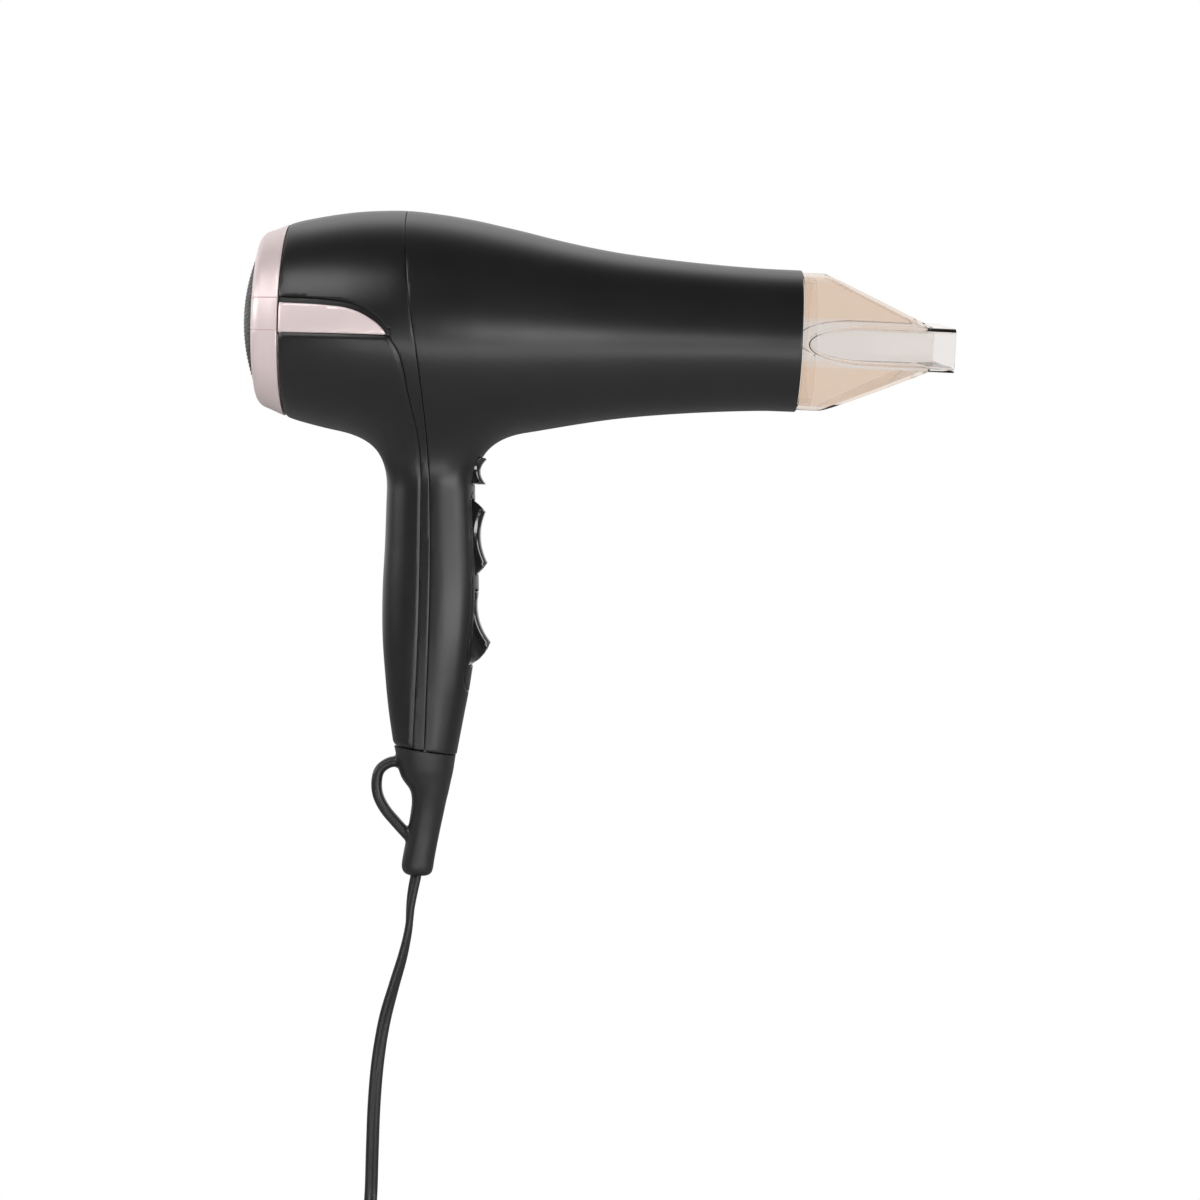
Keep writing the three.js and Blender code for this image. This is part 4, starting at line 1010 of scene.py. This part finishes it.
def screen_mesh():
    bm = bmesh.new()
    count = int(SCREEN_RADIUS / WIRE_PITCH)
    for turn in (0, 1):
        for i in range(-count, count + 1):
            fixed = i * WIRE_PITCH
            reach = math.sqrt(SCREEN_RADIUS**2 - fixed**2)
            steps = max(int(reach / WIRE_PITCH), 1)
            ring_before = None
            for k in range(-steps, steps + 1):
                along = k * WIRE_PITCH
                y, z = (along, fixed) if turn else (fixed, along)
                over = 1 if (i + k + turn) % 2 else -1
                middle = Vector((dome_x(y, z) + over * WEAVE_DEPTH, y, z))
                side = Vector((0, 0, 1)) if turn else Vector((0, 1, 0))
                corners = [middle + side * a + Vector((b, 0, 0)) for a, b in
                           ((WIRE_RADIUS, 0), (0, WIRE_RADIUS), (-WIRE_RADIUS, 0), (0, -WIRE_RADIUS))]
                ring = [bm.verts.new(c) for c in corners]
                if ring_before:
                    for s in range(4):
                        n = (s + 1) % 4
                        bm.faces.new((ring_before[s], ring_before[n], ring[n], ring[s]))
                ring_before = ring
    bmesh.ops.holes_fill(bm, edges=[edge for edge in bm.edges if edge.is_boundary])
    bmesh.ops.recalc_face_normals(bm, faces=bm.faces)
    return bm


screen_piece = finish_piece("woven_inlet_screen", screen_mesh(), WIRE, "inlet_cover",
                            sharp=None)
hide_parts("inlet_mesh")

# %% [markdown]
# The nozzle is blown from clear tinted plastic: a round sleeve that is squeezed to a wedge, and a flat air
# duct that grows out of the wedge on both sides. The outside is the union of both forms, and the hollow is
# the same shape a wall's thickness smaller, taken out of it. A glass material needs that real thickness,
# because light bends at both faces. It sits a few degrees round from level, as a part that turns does.

# %% Nozzle
NOZZLE_REAR, MOUTH = 146.95, 204.95
NOZZLE_RADIUS, NOZZLE_WALL, NOZZLE_TURN = 27.4, 1.5, math.radians(8)
WEDGE_START, WEDGE_SLOPE = 157.0, 0.457
DUCT_HEIGHT, DUCT_ROUND = 8.5, 2.8
DUCT_REAR, DUCT_NOSE = 147.7, 24.0
DUCT_REAR_HALF, DUCT_MOUTH_HALF = 29.0, 36.0


def bevel(bm, edges, width, segments):
    bmesh.ops.bevel(bm, geom=edges, offset=width, offset_type="OFFSET", affect="EDGES", segments=segments,
                    profile=0.5, material=-1, clamp_overlap=True)


def nozzle_form(inset, rear, front):
    """The sleeve, squeezed to a wedge, joined with the flat duct; everything taken in by inset."""
    radius = NOZZLE_RADIUS - inset
    sleeve = spun([(rear, 0), (rear, radius), (MOUTH - 8, radius), (MOUTH - 8, 0)], 160)
    top = NOZZLE_RADIUS - 0.6 - inset
    low = DUCT_HEIGHT - inset
    end = WEDGE_START + (top - low) / WEDGE_SLOPE
    beyond = 3.0
    slant = [(WEDGE_START - beyond / WEDGE_SLOPE, top + beyond), (end, low)]
    upper = [(rear - 1, top + beyond)] + slant
    wedge = prism(upper + [(x, -z) for x, z in reversed(upper)], -40, 40)
    body = combined(mesh_from(sleeve), mesh_from(wedge), "INTERSECT")
    nose = DUCT_NOSE - inset
    side_view = [(DUCT_REAR + DUCT_NOSE - nose * math.cos(t), low * math.sin(t))
                 for t in np.linspace(-math.pi / 2, math.pi / 2, 33)]
    duct = prism([(front, -low)] + side_view + [(front, low)], -1, 1)
    for vert in duct.verts:
        share = (vert.co.x - DUCT_REAR) / (MOUTH - DUCT_REAR)
        vert.co.y *= DUCT_REAR_HALF + (DUCT_MOUTH_HALF - DUCT_REAR_HALF) * share - inset
    rims = [e for e in duct.edges if e.verts[0].co.y * e.verts[1].co.y > 0
            and not all(abs(v.co.x - front) < 1e-3 for v in e.verts)]
    bevel(duct, rims, DUCT_ROUND - inset * 0.8, 6)
    bmesh.ops.recalc_face_normals(duct, faces=duct.faces)
    return combined(body, mesh_from(duct), "UNION")


def nozzle_mesh():
    outside = nozzle_form(0, NOZZLE_REAR, MOUTH)
    hollow = nozzle_form(NOZZLE_WALL, NOZZLE_REAR - 2, MOUTH + 2)
    bm = bmesh_from(combined(outside, hollow, "DIFFERENCE"))
    bmesh.ops.dissolve_limit(bm, angle_limit=math.radians(0.2), verts=bm.verts, edges=bm.edges)
    for face in bm.faces:
        middle = face.calc_center_median()
        beside = abs(middle.y) > math.sqrt(max(NOZZLE_RADIUS**2 - middle.z**2, 0)) - NOZZLE_WALL - 1
        if abs(middle.z) < DUCT_HEIGHT + 0.1 and (beside or middle.x > MOUTH - 9):
            face.material_index = 1
    bmesh.ops.rotate(bm, cent=(0, 0, 0), matrix=Matrix.Rotation(NOZZLE_TURN, 3, "X"), verts=bm.verts)
    return bm


nozzle_piece = finish_piece("clear_nozzle", nozzle_mesh(), CLEAR, "nozzle_head", 24)
nozzle_piece.data.materials.append(CLEAR_DUCT)
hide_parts("nozzle")

# %% [markdown]
# Two rocker switches and the cool shot trigger are polished black plastic with dished faces for the
# finger. Each starts as its side outline pulled to its width. A few cuts along it let the dished face
# round off towards both sides, which shows as a pale crescent from the side. All sharp edges get a bevel.

# %% Buttons
ROCKER_FACE, ROCKER_DISH = 15.1, 2.3
SKIRT_UPPER, SKIRT_LOWER = 9.0, 3.4
ROCKER_INSIDE = [(5.0, 9.0), (4.0, -9.0)]
ROCKER_LEAN = (math.radians(4.4), math.radians(15.7))
SHOULDER_WIDE, SHOULDER_DEEP, FINE_EDGE = 3.2, 2.5, 0.3


def soften(bm, on_face, half):
    """Rounds the dished face off towards both sides, then puts a narrow bevel on every sharp edge."""
    for share in (0.0, 0.3, 0.55, 0.75, 0.88, 0.96):
        for side in (-1, 1):
            level = side * (half - SHOULDER_WIDE * (1 - share))
            bmesh.ops.bisect_plane(bm, geom=everything(bm), plane_co=(0, level, 0), plane_no=(0, 1, 0))
    for vert in (v for v in bm.verts if on_face(v.co)):
        share = max(abs(vert.co.y) - half + SHOULDER_WIDE, 0) / SHOULDER_WIDE
        vert.co.x -= SHOULDER_DEEP * (1 - math.sqrt(max(1 - share * share, 0)))
    sharp = [edge for edge in bm.edges if edge.calc_face_angle(0) > math.radians(35)]
    bevel(bm, sharp, FINE_EDGE, 3)


def rocker_mesh(pivot, lean):
    tip = math.sqrt(ROCKER_SWING**2 - ROCKER_FACE**2)
    upper, lower = (math.sqrt(ROCKER_SWING**2 - x * x) for x in (SKIRT_UPPER, SKIRT_LOWER))
    face = [(ROCKER_FACE - ROCKER_DISH * (1 - (z / tip) ** 2), z)
            for z in np.linspace(-tip, tip, 21).tolist()]

    def end(z0, z1):
        return [(math.sqrt(ROCKER_SWING**2 - z * z), z) for z in np.linspace(z0, z1, 5).tolist()]

    half = ROCKER_WIDTH / 2
    bm = prism(end(-lower, -tip)[:-1] + face + end(tip, upper)[1:] + ROCKER_INSIDE, -half, half)
    soften(bm, lambda co: co.x > ROCKER_FACE - ROCKER_DISH - 0.01 and abs(co.z) < tip + 0.01, half)
    bmesh.ops.rotate(bm, cent=(0, 0, 0), matrix=Matrix.Rotation(-lean, 3, "Y"), verts=bm.verts)
    bmesh.ops.translate(bm, vec=pivot, verts=bm.verts)
    return bm


for name, pivot, lean in zip(("speed", "heat"), rocker_pivots, ROCKER_LEAN):
    rocker = finish_piece(f"{name}_key", rocker_mesh(pivot, lean), BUTTON, f"{name}_button", 40)
    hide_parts(f"{name}_rocker")


# %% Cool shot trigger
TRIGGER_REAR, TRIGGER_STAND, TRIGGER_DISH = 15.9, 5.0, 2.5


def trigger_mesh():
    """The trigger's side outline has a dished face between two slightly rounded tips."""
    front = float(handle_front(TRIGGER_MIDDLE)) + TRIGGER_STAND
    face = [(front - TRIGGER_DISH * (1 - s * s), s * TRIGGER_TALL)
            for s in np.linspace(-0.8, 0.8, 13).tolist()]
    tip = [(front - 1.0, 0), (front - 0.45, 0.15), (front - 0.35, 0.5)]
    lower = [(TRIGGER_REAR, -TRIGGER_TALL)] + [(x, rise - TRIGGER_TALL) for x, rise in tip]
    outline = lower + face + [(x, -z) for x, z in reversed(lower)]
    half = TRIGGER_WIDTH / 2
    bm = prism([(x, TRIGGER_MIDDLE + z) for x, z in outline], -half, half)
    soften(bm, lambda co: co.x > TRIGGER_REAR + 1, half)
    return bm


trigger_piece = finish_piece("cool_shot_key", trigger_mesh(), BUTTON, "cool_shot_button", 40)
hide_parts("cool_shot_trigger")

# %% [markdown]
# The cord guard and its hanging loop are one soft moulding. The guard is lofted through sections down the
# cord, the loop is a flattened rod carried along a bow, and a voxel remesh with some smoothing melts the
# joints between them into the small fillets that a mould leaves. A slanted plane trims its upper end to
# meet the shell.

# %% Cord guard and hanging loop
GUARD_TOP = -170.8
# depth below the top, then the rear edge, the front edge and the half width
GUARD_ROWS = [(-6, -9.2, 17.6, 13.4), (0, -7.5, 16.5, 12.7), (6.8, -6.0, 15.7, 11.6),
              (10.5, -4.4, 15.0, 10.6), (14.6, -1.2, 14.3, 9.5), (18.5, -0.3, 13.5, 8.6),
              (22, -0.4, 12.9, 7.9), (32, -1.6, 11.2, 6.7), (42, -3.1, 9.7, 6.3), (45.6, -3.3, 9.3, 6.1),
              (47.4, -2.6, 8.8, 5.6), (48.4, -1.4, 7.8, 4.7), (48.8, 0.2, 6.2, 3.4)]
LOOP_PATH = [(-1.5, -3.5), (-5.5, -4.3), (-9, -4.1), (-13.4, -7.1), (-14.7, -12), (-13.9, -17.7),
             (-10.9, -23.1), (-6.4, -28.1), (-1.5, -33.1), (2.0, -36.5)]
LOOP_THICK, LOOP_WIDE = 4.3, 7.4
GUARD_NET = 0.55


def guard_mesh():
    rear, front, half = (curve_through(GUARD_ROWS, column) for column in (1, 2, 3))

    def section(depth, angle):
        edges = float(rear(depth)), float(front(depth)), float(half(depth))
        return oval_point(*edges, GUARD_TOP - depth, angle)

    depths = list(np.linspace(-6, 44, 36)) + [45.2, 46.3, 47.2, 47.9, 48.4, 48.7, 48.8]
    body = mesh_from(lofted(depths, section, 56))
    bow, _ = smoothed([Vector((x, 0, HANDLE_END + z)) for x, z in LOOP_PATH], 1.2)

    def squared(value):
        return math.copysign(abs(value) ** 0.8, value)

    rod = [(LOOP_WIDE / 2 * squared(math.cos(a)), LOOP_THICK / 2 * squared(math.sin(a)))
           for a in np.linspace(0, 2 * math.pi, 24, endpoint=False)]
    loop = mesh_from(swept(bow, rod, [(0, 1, 0)] * len(bow)))
    bm = bmesh_from(modified(combined(body, loop, "UNION"), "REMESH", mode="VOXEL", voxel_size=GUARD_NET))
    for _ in range(5):
        relax(bm)
    rise = Vector((END_RISE, 0, 24.5)).normalized()
    on_plane = Vector((4.5, 0, shell_end(4.5) - GAP))
    cut = bmesh.ops.bisect_plane(bm, geom=everything(bm), plane_co=on_plane, plane_no=rise,
                                 clear_outer=True)["geom_cut"]
    rim = [item for item in cut if isinstance(item, bmesh.types.BMEdge)]
    cap = bmesh.ops.edgeloop_fill(bm, edges=rim)["faces"]
    bmesh.ops.inset_region(bm, faces=cap, thickness=0.3, depth=0)
    for edge in rim:
        for vert in edge.verts:
            vert.tag = True
    for vert in (v for v in bm.verts if v.tag):
        vert.co -= rise * 0.15
    bmesh.ops.recalc_face_normals(bm, faces=bm.faces)
    return bm


guard_piece = finish_piece("cord_guard", guard_mesh(), GUARD, "housing", 55)
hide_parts("cord_boot")

# %% [markdown]
# The inner parts keep the engineering model's own shapes. They get their finishes here.

# %% Finishes for the parts of the engineering model
CAD_FINISH = {
    "motor_case": STEEL, "motor_end_cap": INNER, "motor_shaft": STEEL, "motor_armature": COPPER,
    "motor_commutator": COPPER, "motor_bearing_rear": BRONZE, "motor_bearing_front": BRONZE,
    "magnet_upper": FERRITE, "magnet_lower": FERRITE, "brush_left": FERRITE, "brush_right": FERRITE,
    "mica_board_upright": MICA, "mica_board_level": MICA, "heating_coil": NICHROME, "heater_sleeve": MICA,
    "thermal_cutout": STEEL, "thermal_fuse": STEEL, "fan_impeller": HEAT_BLACK, "fan_duct": HEAT_BLACK,
    "inlet_guard": HEAT_BLACK, "outlet_grille": HEAT_BLACK, "nozzle_collar": CLEAR_COLLAR,
    "speed_switch": HEAT_BLACK, "heat_switch": HEAT_BLACK, "cool_shot_spring": STEEL,
    "cool_shot_switch": HEAT_BLACK,
    "switch_board": BOARD, "cord_core": JACKET, "cord_clamp": INNER, "clamp_screw_left": STEEL,
    "clamp_screw_right": STEEL, "plug_pin_left": BRASS, "plug_pin_right": BRASS,
}


def node_object(name):
    item = bpy.data.objects.get(name)
    if item is None:
        item = next(o for o in bpy.data.objects if o.name.endswith(name) and o.type == "MESH")
    return item


for node_name, finish in CAD_FINISH.items():
    node_object(node_name).material_slots[0].material = finish
print(len(CAD_FINISH), "nodes of the engineering model painted")

# %% [markdown]
# The light is a plain white studio. Everything behind the dryer is white, which the black plastic picks
# up as pale rims where it turns away. The front of the room is dark, so the plastic stays black, and a few
# large soft lights draw broad highlights along the barrel and the handle. Whatever looks at the room
# directly or by way of clear plastic sees plain white, so the floor and the room have no visible edge.


# %% White room
DARK_FRONT, WHITE_BACK = 0.03, 1.0
TURNS_WHITE = (0.50, 0.80)


def looking_rays(nodes, links):
    """1 for rays that look at the room straight or by way of clear plastic, 0 for all other light."""
    light_path = nodes.new("ShaderNodeLightPath")
    either = nodes.new("ShaderNodeMath")
    either.operation, either.use_clamp = "ADD", True
    links.new(light_path.outputs["Is Camera Ray"], either.inputs[0])
    links.new(light_path.outputs["Transmission Depth"], either.inputs[1])
    return either.outputs[0]


def white_room():
    bpy.context.scene.view_settings.view_transform = "Standard"
    world = bpy.data.worlds.new("white_room")
    bpy.context.scene.world = world
    world.use_nodes = True
    nodes, links = world.node_tree.nodes, world.node_tree.links
    place_at = nodes.new("ShaderNodeTexCoord")
    split = nodes.new("ShaderNodeSeparateXYZ")
    links.new(place_at.outputs["Generated"], split.inputs["Vector"])
    ramp = nodes.new("ShaderNodeValToRGB")
    ramp.color_ramp.interpolation = "EASE"
    for element, position, shade in zip(ramp.color_ramp.elements, TURNS_WHITE, (DARK_FRONT, WHITE_BACK)):
        element.position = position
        element.color = (*grey(shade), 1)
    depth = nodes.new("ShaderNodeMapRange")
    depth.inputs["From Min"].default_value = -1
    depth.inputs["From Max"].default_value = 1
    links.new(split.outputs["Y"], depth.inputs["Value"])
    links.new(depth.outputs["Result"], ramp.inputs["Fac"])
    lit = nodes["Background"]
    links.new(ramp.outputs["Color"], lit.inputs["Color"])
    seen = nodes.new("ShaderNodeBackground")
    seen.inputs["Color"].default_value = (1, 1, 1, 1)
    choose_shader(nodes, links, looking_rays(nodes, links), lit, seen)


white_room()


# %% Pale floor
FLOOR_RADIUS = 6000


def pale_floor():
    bm = bmesh.new()
    bmesh.ops.create_circle(bm, cap_ends=True, segments=96, radius=FLOOR_RADIUS)
    bmesh.ops.translate(bm, vec=(0, 0, FLOOR), verts=bm.verts)
    material = moulded("pale_floor", grey(0.45), grey(0.47), 0.9, 0.02, 50, 0.02)
    nodes, links = material.node_tree.nodes, material.node_tree.links
    seen = nodes.new("ShaderNodeEmission")
    choose_shader(nodes, links, looking_rays(nodes, links), nodes["Principled BSDF"], seen)
    bm.transform(TO_FRAME)
    floor = as_object("floor", mesh_from(bm, "floor"))
    floor.data.materials.append(material)


pale_floor()


# %% Soft lights
def soft_light(name, at, aim, size, radiance):
    """A rectangular light in millimetre coordinates. Radiance 1 looks as bright as white paper."""
    data = bpy.data.lights.new(name, "AREA")
    data.shape = "RECTANGLE"
    data.size, data.size_y = size[0] * MM, size[1] * MM
    data.energy = radiance * math.pi * data.size * data.size_y
    light = bpy.data.objects.new(name, data)
    light.location = in_frame(*at)
    direction = Vector(in_frame(*aim)) - light.location
    light.rotation_euler = direction.to_track_quat("-Z", "X" if size[0] < size[1] else "Y").to_euler()
    light.visible_camera = False
    light.visible_transmission = False
    bpy.context.collection.objects.link(light)


soft_light("low_front_strip", (60, -760, -400), (50, 0, -10), (900, 130), 10.5)
soft_light("right_front_strip", (560, -700, -120), (3, 0, -110), (110, 800), 11.0)
soft_light("high_right_bank", (824, -400, 250), (24, 0, -90), (520, 400), 5.5)
soft_light("left_side_strip", (-880, -220, 160), (-30, 0, 0), (300, 600), 5.5)
soft_light("high_left_bank", (-480, -640, 500), (-40, 0, 0), (560, 420), 4.5)
soft_light("top_bank", (40, 500, 800), (30, 0, -20), (900, 400), 0.7)
